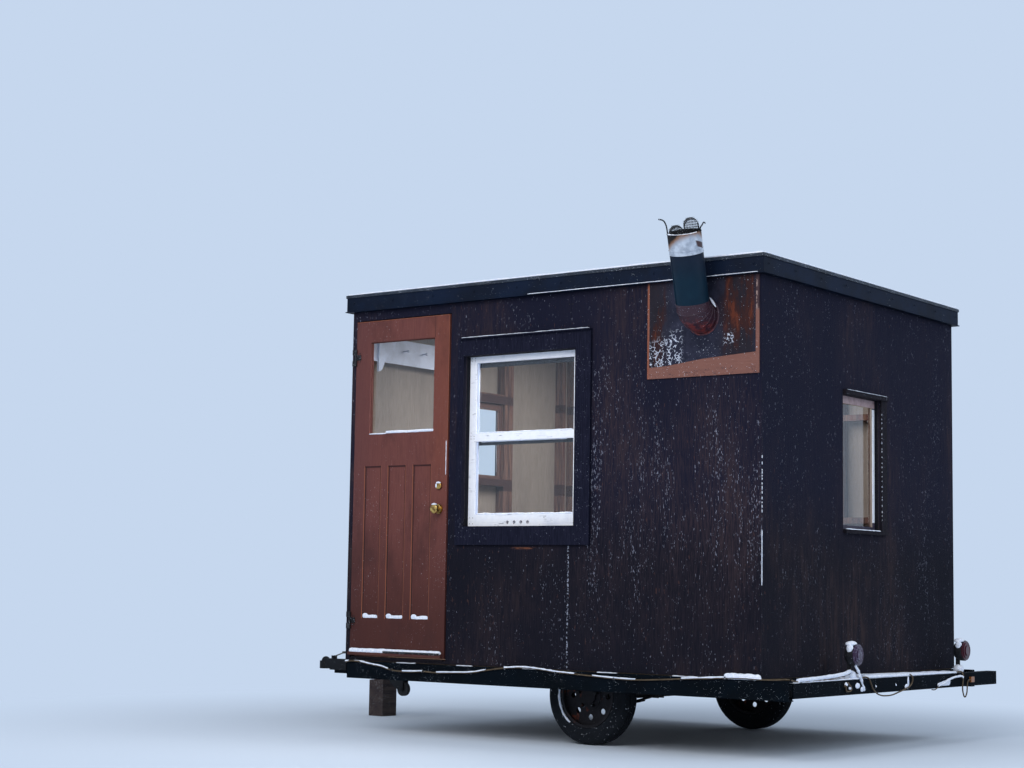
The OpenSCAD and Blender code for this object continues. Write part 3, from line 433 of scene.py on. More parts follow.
def worn_paint(name, base, worn, grime, along, frost):
    """House paint on wood: brushed along the grain, rubbed in spots and grimy in others."""
    paint = Paint(name, 0.7, 0.15)
    grain = paint.grain(120.0, *along)
    paint.colour = (grain["Streak"] * 0.35).blend(base, worn)
    paint.coat(paint.place.noise(3.2, 6.0, 0.65).fade(0.46, 0.72) * 0.5, grime)
    chips = paint.place.effect(RUST, Size=46.0, Amount=0.12)["Mask"]
    paint.coat(chips, worn)
    if frost:
        paint.frost(frost)
    return paint.finish(grain["Streak"] + chips, 0.0007)


def soft_plastic(name, base, rough=0.6):
    """Weathered plastic or rubber with a chalky bloom."""
    paint = Paint(name, rough, 0.3)
    chalk = paint.place.noise(34.0, 5.0, 0.65)
    full = screen_colour(*base)
    pale = tuple(min(1.0, 1.9 * part + 0.01) for part in full[:3]) + (1.0,)
    paint.colour = chalk.fade(0.35, 0.75).blend(full, pale)
    paint.frost(0.08)
    return paint.finish(chalk, 0.0005, 0.4)


# The walls

def inside_room(x, y, depth):
    """1 on surfaces that lie deeper than a depth inside the outer faces of the walls."""
    sides = []
    walls = ((x, MIDDLE.x, deck_low.x, deck_high.x), (y, MIDDLE.y, deck_low.y, deck_high.y))
    for part, middle, low, high in walls:
        sides.append(abs(part - middle).below((high - low) / 2 - depth))
    return sides[0] * sides[1]


def wall_stain():
    """Rough plywood in a nearly black stain, streaked brown and frosted, and bare beige inside."""
    paint = Paint("stained_siding", 0.9, 0.12)
    place = paint.place
    x, y, z = paint.axes()
    grain = paint.grain(170.0, 1, 1, 0.07)
    figure = paint.grain(34.0, 1, 1, 0.12)
    cloud = place.stretched(1, 1, 0.45).noise(1.6)
    front = y.past(-1150, -1170)
    weather = front * x.past(120, 420) * z.within(850, 2000, 350)
    worn = cloud.fade(0.36, 0.62) * (weather * 0.6 + 0.3)
    paint.colour = z.past(1500, 950).blend((20, 22, 40), (16, 17, 28))
    paint.coat(grain["Streak"] * worn, (55, 45, 53))
    paint.coat(figure["Streak"] * cloud.fade(0.50, 0.75) * 0.45, (78, 60, 56))
    paint.frost(0.13, 95.0, 0.35, (96, 66, 58), (1, 1, 0.25))
    ragged = place.stretched(0.2, 1, 1).noise(60.0).fade(0.40, 0.60)
    scuff = x.within(-184, 6, 20) * z.within(1082, 1092) * front * ragged * 0.7
    paint.coat(scuff, (128, 80, 58))
    columns = place.stretched(1, 1, 0.06).noise(17.0, 3.0).fade(0.38, 0.60)
    clinging = weather * columns * 0.14 + 0.13
    paint.frost(clinging, 250.0, 0.75, DULL_FROST, (1, 1, 0.20))
    seam = front * x.within(202, 211, 2) * z.within(430, 1099, 8) * place.noise(90.0, 2.0).fade(0.50, 0.60)
    paint.coat(seam, (170, 178, 198))
    joint = x.within(204, 208, 1).or_else(x.within(-1015, -1011, 1)) * y.past(1160, 1172)
    paint.coat(joint * 0.8, (8, 8, 12))
    bare = grain["Streak"].blend((151, 143, 137), (131, 122, 117))
    bare = (figure["Figure"] * 0.35).blend(bare, (116, 108, 106))
    paint.coat(inside_room(x, y, 0.97 * SIDING), bare)
    return paint.finish(grain["Streak"] + figure["Streak"] - joint, 0.0022, 0.7)


def stud_timber():
    """Rough studs: grey-brown with red streaks, black where they line an opening."""
    paint = Paint("stained_studs", 0.85, 0.15)
    x, y, z = paint.axes()
    grain = paint.grain(90.0, 1, 1, 0.05)
    paint.colour = grain["Figure"].blend((86, 66, 63), (50, 37, 40))
    paint.coat(grain["Streak"] * 0.5, (150, 116, 100))
    red = paint.place.stretched(1, 1, 0.06).noise(26.0, 5.0, 0.65)
    paint.coat(red.fade(0.54, 0.66) * 0.6, (88, 42, 39))
    heads = z.within(2074, 2130, 2).or_else(z.within(1500, 1576, 2))
    heads = heads * x.past(-1316, -1322) * y.past(-316, -310)
    paint.coat(heads * 0.85, (50, 33, 36))
    lining = y.past(-1124, -1132).or_else(x.past(1366, 1372))
    paint.coat(lining, (20, 20, 28))
    return paint.finish(grain["Streak"], 0.0012, 0.6)


# The door and the windows

def door_paint():
    """Brick red paint, more orange on the right, purple on the left stile and darker towards the foot, with
    painted shade and painted highlights along the edges of the sunk panels.
    """
    paint = Paint("door_paint", 0.7, 0.15)
    place = paint.place
    x, z = paint.axes("XZ")
    grain = paint.grain(120.0, 1, 1, 0.08)
    blotch = place.stretched(1, 1, 0.5).noise(4.5, 6.0, 0.65)
    streaks = place.stretched(1, 1, 0.04).noise(60.0, 5.0, 0.7)
    paint.colour = (grain["Streak"] * 0.35).blend((98, 57, 54), (117, 72, 65))
    paint.coat(x.past(-1180, -1370) * 0.4, (82, 52, 54))
    paint.coat(x.past(-900, -680) * z.past(1100, 1700) * 0.4, (124, 68, 50))
    # Darker towards the foot.
    paint.coat(z.past(1400, 560) * 0.82, (62, 33, 29))
    paint.coat(blotch.fade(0.48, 0.70) * 0.5, (55, 33, 33))
    paint.coat(streaks.fade(0.58, 0.72) * 0.35, (48, 31, 36))
    # Painted shade: dark lines just inside the side edges of the sunk panels and along their tops.
    panel_shade = (38, 22, 25)
    panels = z.within(669, 1579, 1)
    for left, width in zip(PANEL_LEFT, PANEL_WIDTH):
        ends = (LEAF_LEFT + left, LEAF_LEFT + left + width)
        for side, edge in zip((1, -1), ends):
            shade_line = sorted((edge + side * 2, edge + side * 9))
            paint.coat(panels * x.within(*shade_line, 1.5) * 0.75, panel_shade)
            # Painted highlight: a light orange line on each side edge of the sunk panels.
            paint.coat(panels * x.within(edge - 2.5, edge + 1.5, 1) * 0.85, (146, 88, 64))
        paint.coat(x.within(*ends, 1) * z.within(1568, 1577, 1.5) * 0.8, panel_shade)
    crack = x.within(-771.5, -769, 0.6) * z.past(2327, 2331)
    paint.coat(crack * 0.85, (26, 16, 20))
    paint.frost(0.12, 190.0, 0.7, (180, 172, 184), (1, 1, 0.6))
    return paint.finish(grain["Streak"], 0.0007)


def frame_paint():
    """The door frame: nearly black outside, red-brown where the leaf meets it."""
    paint = Paint("frame_paint", 0.8, 0.15)
    y, = paint.axes("Y")
    streak = paint.grain(120.0, 1, 1, 0.08)["Streak"]
    paint.colour = streak.blend((66, 44, 46), (92, 62, 58))
    paint.coat(y.past(-1150, -1168), streak.blend((19, 18, 26), (38, 32, 38)))
    paint.frost(0.10, 170.0, 0.8, (190, 194, 208), (1, 1, 0.5))
    return paint.finish(streak, 0.0009)


def casing_paint():
    """Window trim: blue-black on the front, the walls' own brown-black at the two ends."""
    paint = Paint("casing_paint", 0.8, 0.12)
    x, = paint.axes("X")
    streak = paint.grain(130.0, 1, 1, 0.08)["Streak"]
    paint.colour = streak.blend((9, 12, 30), (25, 26, 44))
    paint.coat(off_centre(x).above(1.40), streak.blend((14, 13, 21), (34, 29, 36)))
    paint.frost(0.12, 220.0, 0.7, DULL_FROST, (1, 1, 0.4))
    return paint.finish(streak, 0.0012, 0.6)


def sash_paint():
    """White paint; on the end sashes it is left on the stiles only, and their inner sides are bare."""
    paint = Paint("sash_paint", 0.55, 0.3)
    place = paint.place
    x, z = paint.axes("XZ")
    brush = paint.grain(110.0, 0.3, 0.3, 0.3)["Streak"]
    white = (brush * 0.4).blend((243, 246, 254), (226, 231, 247))
    white = (place.noise(6.0, 6.0, 0.65).fade(0.50, 0.78) * 0.5).blend(white, (194, 201, 224))
    cracks = place.stretched(0.06, 1, 1).noise(46.0, 3.0, 0.5).thin_lines(0.010)
    ragged = place.noise(14.0, 3.0).fade(0.46, 0.58)
    white = (cracks * ragged * 0.75).blend(white, (96, 100, 120))
    on_end = off_centre(x).above(1.36)
    outer = off_centre(x).above(1.3905)
    left = x.below(MIDDLE.x)
    head_higher, foot_higher = 0.107, 0.358
    head = z - left * head_higher
    foot = z - left * foot_higher
    rail = brush.blend((170, 148, 150), (140, 116, 120))
    rail = head.fade(1.923, 1.921).blend(rail, (34, 40, 66))
    face = head.fade(1.914, 1.916).blend(white, rail)
    face = foot.fade(1.268, 1.264).blend(face, brush.blend((40, 38, 56), (62, 56, 74)))
    streak = paint.grain(90.0, 1, 1, 0.05)["Streak"]
    bare = streak.blend((94, 66, 60), (68, 46, 44))
    beige = streak.blend((142, 130, 124), (118, 106, 102))
    paint.colour = on_end.blend(white, outer.blend(left.blend(beige, bare), face))
    return paint.finish(brush - cracks, 0.0006)


def clear_glass():
    """Window glass that lets the lamps' light through, with faint dirt in its roughness."""
    paint = Paint("window_glass", 0.02)
    paint.set("Base Color", (0.94, 0.97, 0.98, 1))
    paint.set("Transmission Weight", 1.0)
    paint.set("IOR", 1.45)
    paint.set("Roughness", paint.place.noise(7.0, 5.0).fade(0.55, 0.95) * 0.06)
    shadow = Value(paint.tree, new_node(paint.tree, "LightPath").outputs["Is Shadow Ray"])
    swap_shaders(paint.tree, shadow, paint.shader, new_node(paint.tree, "BsdfTransparent"))
    return paint.material


# The flue and what it passes through

def rusty_sheet():
    """The heat shield: dark grey-blue sheet, rust at both sides and a web of frost low on the left."""
    paint = Paint("heat_shield_sheet", 0.75, 0.2)
    place = paint.place
    x, z = paint.axes("XZ")
    stain = place.stretched(1, 1, 0.25).noise(11.0, 7.0, 0.72)
    grey = place.noise(16.0, 5.0, 0.65).fade(0.3, 0.7).blend((20, 23, 40), (40, 42, 60))
    right = x.past(1130, 1270) * x.past(1400, 1370)
    sides = x.past(900, 780).or_else(right)
    soaked = stain + (z.within(2230, 2375, 70) * 0.10 + 0.05) * right
    paint.colour = grey
    paint.coat(sides * 0.75, (25, 18, 24))
    paint.coat(sides * soaked.fade(0.50, 0.60), (46, 21, 21))
    paint.coat(sides * soaked.fade(0.61, 0.71) * 0.85, (92, 42, 25))
    web = new_node(paint.tree, "TexVoronoi", feature="DISTANCE_TO_EDGE")
    web.inputs["Scale"].default_value = 52.0
    join(place, web.inputs["Vector"])
    thread = Value(paint.tree, web.outputs["Distance"]).fade(0.13, 0.06)
    slope = z - (x - at(736, 0, 0).x) * 0.45
    spot = x.within(1202, 1262, 8) * z.within(2160, 2216, 10)
    net = (x.past(960, 920) * slope.fade(2.215, 2.13)).or_else(spot)
    frost = thread * place.noise(38.0, 3.0).fade(0.48, 0.54) * net
    more = z.past(2330, 2100) * 0.07 + 0.10
    crumbs = place.effect(FROST, Size=150.0, Amount=more)["Mask"]
    paint.coat(frost.or_else(crumbs) * 0.85, (196, 204, 222))
    return paint.finish(stain + frost, 0.0015)


def patch_paint():
    """Salmon paint on the board round the flue, orange along its left edge, scratched at its foot."""
    paint = Paint("patch_paint", 0.7, 0.2)
    place = paint.place
    x, z = paint.axes("XZ")
    streak = paint.grain(120.0, 0.08, 1, 1)["Streak"]
    paint.colour = (streak * 0.4).blend((122, 83, 74), (102, 67, 60))
    paint.coat(x.past(745, 725) * 0.7, (136, 76, 52))
    scratch = place.stretched(0.25, 1, 1).noise(60.0, 3.0).thin_lines(0.02)
    foot = z.past(2064, 2020) * place.noise(24.0).fade(0.48, 0.60)
    paint.coat(scratch * foot, (58, 46, 54))
    dark = x.past(1384, 1390) * z.past(2320, 2350)
    paint.coat(dark * 0.85, (40, 33, 43))
    seam = x.within(1398, 1406, 2) * place.noise(34.0).fade(0.46, 0.56) * dark
    paint.coat(seam, (150, 128, 122))
    paint.frost(0.12, 170.0)
    return paint.finish(streak, 0.0007)


def elbow_steel():
    """Maroon stove enamel, redder in streaks towards its lower curve, with frost dots."""
    paint = Paint("elbow_enamel", 0.5, 0.4)
    z, = paint.axes("Z")
    bloom = paint.place.effect(RUST, Size=22.0, Amount=0.25)
    paint.colour = bloom["Grain"].blend((36, 20, 32), (62, 34, 47))
    # Redder streaks towards the lower curve.
    lower_red = z.past(2300, 2225) * paint.place.noise(26.0, 5.0, 0.7).fade(0.42, 0.60)
    paint.coat(lower_red, (122, 46, 40))
    paint.coat(bloom["Mask"], (26, 16, 24))
    paint.frost(0.15, 190.0, tint=(180, 190, 212))
    return paint.finish(bloom["Grain"], 0.0006)


def pipe_paint():
    """Dark blue-green stove paint, greyer at its top, with peeled chips."""
    paint = Paint("pipe_paint", 0.5, 0.14)
    low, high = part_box("flue_pipe")
    z, = paint.axes("Z")
    mottle = paint.place.noise(20.0, 5.0, 0.65)
    lower = mottle.blend((3, 26, 42), (10, 40, 57))
    upper = mottle.blend((10, 20, 36), (24, 36, 54))
    chips = paint.place.effect(RUST, Size=30.0, Amount=0.16)["Mask"]
    paint.colour = z.fade(low.z + 0.10, high.z - 0.05).blend(lower, upper)
    paint.coat(chips, (96, 106, 124))
    return paint.finish(mottle - chips, 0.0005, 0.4)


def collar_steel():
    """Bare galvanised collar, black with soot from its upper left and rust brown where that ends."""
    paint = Paint("bare_collar", 0.5, 0.4)
    paint.set("Metallic", 0.25)
    low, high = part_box("flue_collar")
    x, z = paint.axes("XZ")
    mottle = paint.place.noise(28.0, 5.0)
    slant = (x - (low.x + high.x) / 2) * 0.42
    ragged = z - slant - low.z + mottle * 0.035
    soot = ragged.fade(0.100, 0.118)
    rise = z - low.z
    spot = x.fade(high.x - 0.012, high.x - 0.008) * rise.fade(0.052, 0.056) * rise.fade(0.086, 0.081)
    paint.colour = mottle.fade(0.35, 0.65).blend((154, 164, 180), (192, 202, 216))
    paint.coat(ragged.fade(0.072, 0.108), (128, 92, 68))
    paint.coat(spot, (66, 44, 46))
    paint.coat(soot, (22, 20, 24))
    paint.set("Roughness", soot * 0.4 + 0.4)
    return paint.finish(mottle, 0.0004, 0.4)


# The trailer, its lamps and the fittings

def tyre_rubber():
    """Old tyre: black rubber, rings moulded in the sidewall, fine cuts across the tread and a little frost.
    """
    paint = Paint("tyre_rubber", 0.8, 0.15)
    low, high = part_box("front_tyre")
    x, y, z = paint.axes()
    across = x - (low.x + high.x) / 2
    up = z - (low.z + high.z) / 2
    out = reach(across, up)
    slant = up.work_out("ARCTAN2", across) * 36.0 + y * 60.0
    cuts = out.fade(0.252, 0.262) * (slant * 2.0).work_out("SINE").fade(0.80, 0.95)
    band = out.fade(0.202, 0.208) * out.fade(0.241, 0.235)
    rings = (out * 700.0).work_out("SINE").fade(0.2, 0.9) * band
    paint.colour = paint.place.noise(18.0, 6.0, 0.7).blend((8, 13, 19), (24, 28, 35))
    paint.coat(cuts, (8, 9, 12))
    paint.frost(0.14, 120.0)
    return paint.finish(rings - cuts, 0.003, 0.7)


def lamp_plastic():
    """Moulded lens plastic: frosted purple on the lamp nearer the front corner, deep red on the other."""
    paint = Paint("lamp_lens", 0.3, 0.4)
    paint.set("Coat Weight", 0.3)
    y, z = paint.axes("YZ")
    deep = paint.place.noise(40.0, 3.0, 0.5)
    first = y.past(300, 100)
    paint.colour = deep.blend((42, 9, 24), (76, 19, 36))
    paint.coat(first, deep.blend((34, 20, 42), (66, 44, 76)))
    marker = z.past(400, 390) * y.past(980, 986)
    paint.coat(marker, deep.blend((86, 48, 22), (158, 96, 44)))
    bloom = paint.place.noise(70.0, 5.0, 0.7).fade(0.52, 0.72) * first * 0.75
    paint.coat(bloom, (178, 182, 212))
    return paint.finish((z * 900.0).work_out("SINE"), 0.0008)


def brass():
    """Old brass: bright where hands rub it, brown in its hollows."""
    paint = Paint("old_brass", 0.28)
    paint.set("Metallic", 1.0)
    tarnish = paint.place.noise(60.0)
    paint.set("Base Color", tarnish.fade(0.40, 0.62).blend((212, 176, 104), (120, 92, 52)))
    paint.set("Roughness", tarnish * 0.3 + 0.12)
    return paint.material


def snow():
    """Old snow and frost: white with painted blue shade in its dips and a crumbly surface."""
    paint = Paint("crusted_snow", 0.9, 0.2)
    lumps = paint.place.noise(90.0, 5.0, 0.7)
    # Painted shade: the low places of the lumps, which are also the dips of the relief, are bluer.
    paint.colour = lumps.fade(0.3, 0.7).blend((200, 212, 236), (238, 242, 250))
    return paint.finish(lumps, 0.003, 0.6)


def make_finishes():
    """Every finish of the record's slots, by the slot's name."""
    ply = ((140, 122, 104), (112, 94, 80), (160, 144, 126))
    return {
        "trailer_paint": painted_steel("trailer_paint", (1, 9, 18), 0.10, 0.8, 0.09, shine=0.07),
        "coupler_steel": painted_steel("coupler_paint", (15, 18, 25), 0.24, 0.6, shine=0.2),
        "latch_steel": painted_steel("latch_zinc", (112, 110, 106), 0.35, 0.4, metal=0.6),
        "jack_paint": painted_steel("jack_paint", (9, 11, 16), 0.2, shine=0.2),
        "black_rubber": soft_plastic("jack_wheel_rubber", (20, 21, 24), 0.7),
        "block_timber": wood("block_timber", (58, 50, 50), (38, 33, 38), (86, 74, 71), "Y", 0.15, 0.003),
        "axle_steel": painted_steel("axle_paint", (13, 14, 18), 0.4, shine=0.2),
        "spring_steel": painted_steel("spring_steel", (18, 18, 21), 0.45, shine=0.2),
        "tyre": tyre_rubber(),
        "rim_paint": painted_steel("rim_paint", (30, 29, 34), 0.5, 0.7, size=16.0, shine=0.2),
        "lamp_housing": soft_plastic("lamp_housing", (12, 14, 20)),
        "lamp_lens": lamp_plastic(),
        "cable_jacket": soft_plastic("cable_jacket", (66, 54, 38)),
        "floor_ply": wood("floor_plywood", *ply, "X"),
        "wall_stain": wall_stain(),
        "framing_timber": stud_timber(),
        "rafter_timber": wood("rafter_timber", (122, 98, 80), (96, 74, 60), (156, 130, 108), "Y"),
        "roof_ply": wood("roof_plywood", *ply, "X"),
        "roof_metal": painted_steel("roof_sheet", (38, 48, 62), 0.08, 0.5, 0.2),
        "fascia_metal": painted_steel("fascia_sheet", (6, 21, 43), 0.02, 0.6, 0.06, shine=0.12),
        "casing_paint": casing_paint(),
        "sash_paint": sash_paint(),
        # The inner sash's dark blue-grey is partly its own dark paint and partly painted shade on its rails,
        # which sit in shadow behind the outer sash.
        "inner_sash_paint": wood("inner_sash_paint", (30, 37, 48), (20, 24, 33), (50, 54, 64), "Z"),
        "pale_board": worn_paint("pale_board", (202, 214, 240), (216, 225, 246), (144, 150, 168),
                                 (1, 1, 0.08), 0.0),
        "window_glass": clear_glass(),
        "jamb_paint": frame_paint(),
        "hinge_steel": painted_steel("hinge_steel", (40, 39, 42), 0.4, 0.5, 0.22, metal=0.4),
        "door_paint": door_paint(),
        "weather_bar_paint": worn_paint("weather_bar_paint", (74, 44, 41), (98, 62, 54), (44, 28, 31),
                                        (0.08, 1, 1), 0.05),
        "brass": brass(),
        "patch_paint": patch_paint(),
        "rusty_sheet": rusty_sheet(),
        "elbow_steel": elbow_steel(),
        "pipe_paint": pipe_paint(),
        "bare_collar": collar_steel(),
        "screen_wire": painted_steel("screen_wire", (40, 42, 46), 0.3, 0.45, 0.25, 60.0, 0.4),
    }


def dress_frame():
    """Gives every node of the frame the finish of its slot."""
    for row in frame["record"]["subparts"]:
        mesh = frame["nodes"][row["node"]].data
        mesh.materials.clear()
        mesh.materials.append(FINISH[row["material_slot"]])


# Ways of making a piece

QUARTER = math.radians(90)
SHARP = math.radians(35)
TO_FRONT = Matrix.Rotation(QUARTER, 4, "X")
TO_END = Matrix.Rotation(QUARTER, 4, "Y")


def select_only(*pieces):
    """Selects some pieces, the first of them active, and nothing else."""
    bpy.ops.object.select_all(action="DESELECT")
    for piece in pieces:
        piece.select_set(True)
    if pieces:
        bpy.context.view_layer.objects.active = pieces[0]


def settle(name, scale=(1, 1, 1)):
    """Scales and names the new primitive, and puts its place, turn and size in its mesh."""
    piece = bpy.context.object
    piece.scale = scale
    bpy.ops.object.transform_apply(location=True, rotation=True, scale=True)
    piece.name = name
    return piece


def start_box(name, low, high):
    """A box between two corners."""
    select_only()
    low, high = Vector(low), Vector(high)
    bpy.ops.mesh.primitive_cube_add(size=1, location=(low + high) / 2)
    return settle(name, high - low)


def start_rod(name, low, high, radius, sides):
    """A round rod from one point to another."""
    select_only()
    low, high = Vector(low), Vector(high)
    run = high - low
    turn = run.to_track_quat("Z", "Y").to_euler()
    bpy.ops.mesh.primitive_cylinder_add(vertices=sides, radius=radius, depth=run.length,
                                        location=(low + high) / 2, rotation=turn)
    return settle(name)


def open_piece(piece):
    """Goes into edit mode on one piece."""
    select_only(piece)
    bpy.ops.object.mode_set(mode="EDIT")


def close_piece():
    """Goes back to object mode."""
    bpy.ops.object.mode_set(mode="OBJECT")


def pick(piece, kind, test):
    """In edit mode, selects only the faces, edges or corners whose middle passes a test."""
    bpy.ops.mesh.select_mode(type=kind)
    bpy.ops.mesh.select_all(action="DESELECT")
    shape = bmesh.from_edit_mesh(piece.data)
    parts = {"FACE": shape.faces, "EDGE": shape.edges, "VERT": shape.verts}[kind]
    for part in parts:
        if kind == "FACE":
            part.select_set(test(part.calc_center_median(), part.normal))
        elif kind == "EDGE":
            one, two = part.verts
            part.select_set(test((one.co + two.co) / 2, two.co - one.co))
        else:
            part.select_set(test(part.co, part.normal))
    bmesh.update_edit_mesh(piece.data)


def apply_modifier(piece, kind, **settings):
    """Adds one modifier with its settings and applies it."""
    select_only(piece)
    made = piece.modifiers.new(kind, kind)
    for label, value in settings.items():
        setattr(made, label, value)
    bpy.ops.object.modifier_apply(modifier=made.name)


def soften(piece, width=0.0015):
    """Rounds a piece's sharp edges."""
    apply_modifier(piece, "BEVEL", width=width, segments=2, limit_method="ANGLE", angle_limit=SHARP)


def hand_over(piece, slot, body="hut", smooth=True, finish=None):
    """Finishes a piece: the material of its slot, or the finish given, smooth shading when asked, and the
    body that carries it.
    """
    piece.data.materials.clear()
    piece.data.materials.append(finish or FINISH[slot])
    if smooth:
        select_only(piece)
        bpy.ops.object.shade_smooth_by_angle(angle=math.radians(40))
    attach(piece, body)
    return piece


def join_pieces(name, pieces):
    """Makes several pieces one, with one mesh."""
    select_only(*pieces)
    if len(pieces) > 1:
        bpy.ops.object.join()
    joined = bpy.context.object
    joined.name = name
    return joined


def start_ring(radius, thick, move, sides=72, around=8):
    """A rolled bead about its own Z axis, flatter than round, moved to its place by a matrix."""
    select_only()
    bpy.ops.mesh.primitive_torus_add(major_radius=radius, minor_radius=thick, major_segments=sides,
                                     minor_segments=around)
    piece = bpy.context.object
    open_piece(piece)
    bpy.ops.mesh.select_all(action="SELECT")
    bpy.ops.transform.resize(value=(1, 1, 0.8))
    pick(piece, "VERT", lambda place, normal: math.hypot(place.x, place.y) > radius + 0.6 * thick)
    bpy.ops.transform.resize(value=(1, 1, 0.7))
    close_piece()
    piece.data.transform(move)
    return piece


def start_button(radius, height, sides):
    """A nail or screw head: a low button with a raised middle, at the origin, that faces the front."""
    piece = start_rod("head", (0, 0.0008, 0), (0, -height, 0), radius, sides)
    open_piece(piece)
    pick(piece, "FACE", lambda middle, normal: normal.y < -0.9)
    bpy.ops.mesh.inset(thickness=0.35 * radius, depth=0)
    bpy.ops.transform.translate(value=(0, -0.35 * height, 0))
    close_piece()
    return piece


def set_buttons(name, spots, slot, turn=0, radius=0.0035, height=0.0012, body="hut", sides=12):
    """Nail or screw heads on one face of the hut, as one piece; turn is degrees about Z from the front."""
    facing = Matrix.Rotation(math.radians(turn), 4, "Z")
    pattern = start_button(radius, height, sides)
    heads = []
    for spot in spots:
        head = pattern.copy()
        head.data = pattern.data.copy()
        head.data.transform(Matrix.Translation(spot) @ facing)
        bpy.context.collection.objects.link(head)
        heads.append(head)
    bpy.data.objects.remove(pattern)
    return hand_over(join_pieces(name, heads), slot, body)


def bar(name, low, high, edge=0.0012):
    """A bar with rounded edges between two corners in the hut's millimetres."""
    piece = start_box(name, at(*low), at(*high))
    soften(piece, edge)
    return piece


def draw_cable(name, points, radius):
    """A smooth round tube through points, as a mesh."""
    curve = bpy.data.curves.new(name, "CURVE")
    curve.dimensions = "3D"
    curve.bevel_depth = radius
    curve.bevel_resolution = 3
    curve.resolution_u = 5
    curve.use_fill_caps = True
    spline = curve.splines.new("BEZIER")
    spline.bezier_points.add(len(points) - 1)
    for knot, point in zip(spline.bezier_points, points):
        knot.co = point
        knot.handle_left_type = knot.handle_right_type = "AUTO"
    piece = bpy.data.objects.new(name, curve)
    bpy.context.collection.objects.link(piece)
    select_only(piece)
    bpy.ops.object.convert(target="MESH")
    return bpy.context.object


# Snow, each strip and cap a piece of its own

LUMPS = bpy.data.textures.new("snow_lumps", "CLOUDS")
LUMPS.noise_scale = 0.022
LUMPS.noise_depth = 3


def finish_snow(piece, body, swell):
    """Roughens a piece of snow and hands it over."""
    apply_modifier(piece, "DISPLACE", texture=LUMPS, texture_coords="GLOBAL", strength=swell, mid_level=0.5)
    return hand_over(piece, "sash_paint", body, finish=SNOW)


def snow_tube(name, points, radius, swell=0.006, body="hut"):
    """Snow that clings along a line."""
    finish_snow(draw_cable(name, points, radius), body, swell)


def snow_strip(name, low, high, body="hut", pitch=0.035, lumps=0.004, rows=0, swell=0.004, lift=(0, 0)):
    """A lumpy strip on a ledge: a box cut across many times, its top pushed about, then rounded.

    lift raises the top at its two ends, in millimetres.
    """
    low, high = at(*low), at(*high)
    piece = start_box(name, low, high)
    size = high - low
    run = max(range(3), key=lambda i: size[i])
    cuts = max(2, int(size[run] / pitch))
    open_piece(piece)
    pick(piece, "EDGE", lambda middle, way: abs(way[run]) > 0.9 * size[run])
    bpy.ops.mesh.subdivide(number_cuts=cuts)
    if rows:
        side = 1 - run
        pick(piece, "EDGE", lambda middle, way: abs(way[side]) > 0.9 * size[side])
        bpy.ops.mesh.subdivide(number_cuts=rows)
    pick(piece, "VERT", lambda place, normal: place.z > high.z - 1e-4)
    for corner in bmesh.from_edit_mesh(piece.data).verts:
        if corner.select:
            share = (corner.co[run] - low[run]) / size[run]
            corner.co.z += (lift[0] * (1 - share) + lift[1] * share) / 1000
    bpy.ops.transform.vertex_random(offset=lumps, seed=draw.randrange(1, 9999))
    close_piece()
    apply_modifier(piece, "SUBSURF", levels=2, render_levels=2)
    return finish_snow(piece, body, swell)


def snow_cap(name, middle, size, body="hut", lean=0.35, turn=0):
    """A rounded cap of snow on a small piece; its middle is in the hut's millimetres, its size too."""
    middle = at(*middle)
    size = Vector(size) / 1000
    select_only()
    bpy.ops.mesh.primitive_ico_sphere_add(subdivisions=3, radius=1, location=middle)
    piece = settle(name, size)
    floor = middle.z - lean * size.z
    open_piece(piece)
    pick(piece, "VERT", lambda place, normal: place.z < floor)
    bpy.ops.transform.resize(value=(1, 1, 0.02), center_override=(middle.x, middle.y, floor))
    bpy.ops.mesh.select_all(action="SELECT")
    bpy.ops.transform.vertex_random(offset=0.12 * min(size), seed=draw.randrange(1, 9999))
    bpy.ops.mesh.vertices_smooth(factor=0.5)
    close_piece()
    turned = Matrix.Rotation(math.radians(turn), 4, "Y")
    piece.data.transform(Matrix.Translation(middle) @ turned @ Matrix.Translation(-middle))
    return finish_snow(piece, body, 0.25 * min(size))


def frost_dots(name, x, y, low, high, size):
    """A dotted upright line of frost, as one piece."""
    dots = []
    level = low
    while level < high:
        dots.append(snow_cap("dot", (x, y, level), (size, size, draw.uniform(1.2, 4) * size), lean=0.9))
        level += draw.uniform(14, 36)
    hand_over(join_pieces(name, dots), "sash_paint", finish=SNOW)


def snow_on_roof():
    """A thin crusted sheet on the roof, thicker along its edges, and a line on the fascia's lip."""
    snow_strip("snow_roof_sheet", (-1445, -1195, 2621), (1445, 1195, 2627), pitch=0.05, lumps=0.003, rows=46,
               swell=0.006)
    inner_end = ROOF_END - 26
    inner_side = ROOF_SIDE - 26
    edges = {"front": ((-ROOF_END, -ROOF_SIDE), (ROOF_END, -inner_side)),
             "back": ((-ROOF_END, inner_side), (ROOF_END, ROOF_SIDE)),
             "right": ((inner_end, -ROOF_SIDE), (ROOF_END, ROOF_SIDE)),
             "left": ((-ROOF_END, -ROOF_SIDE), (-inner_end, ROOF_SIDE))}
    for side, (low, high) in edges.items():
        snow_strip(f"snow_roof_{side}", (*low, 2620), (*high, 2635), pitch=0.04)
    snow_strip("snow_fascia_lip", (-83, -1212, 2520), (1427, -1205, 2528), pitch=0.05, lumps=0.0015,
               swell=0.002)


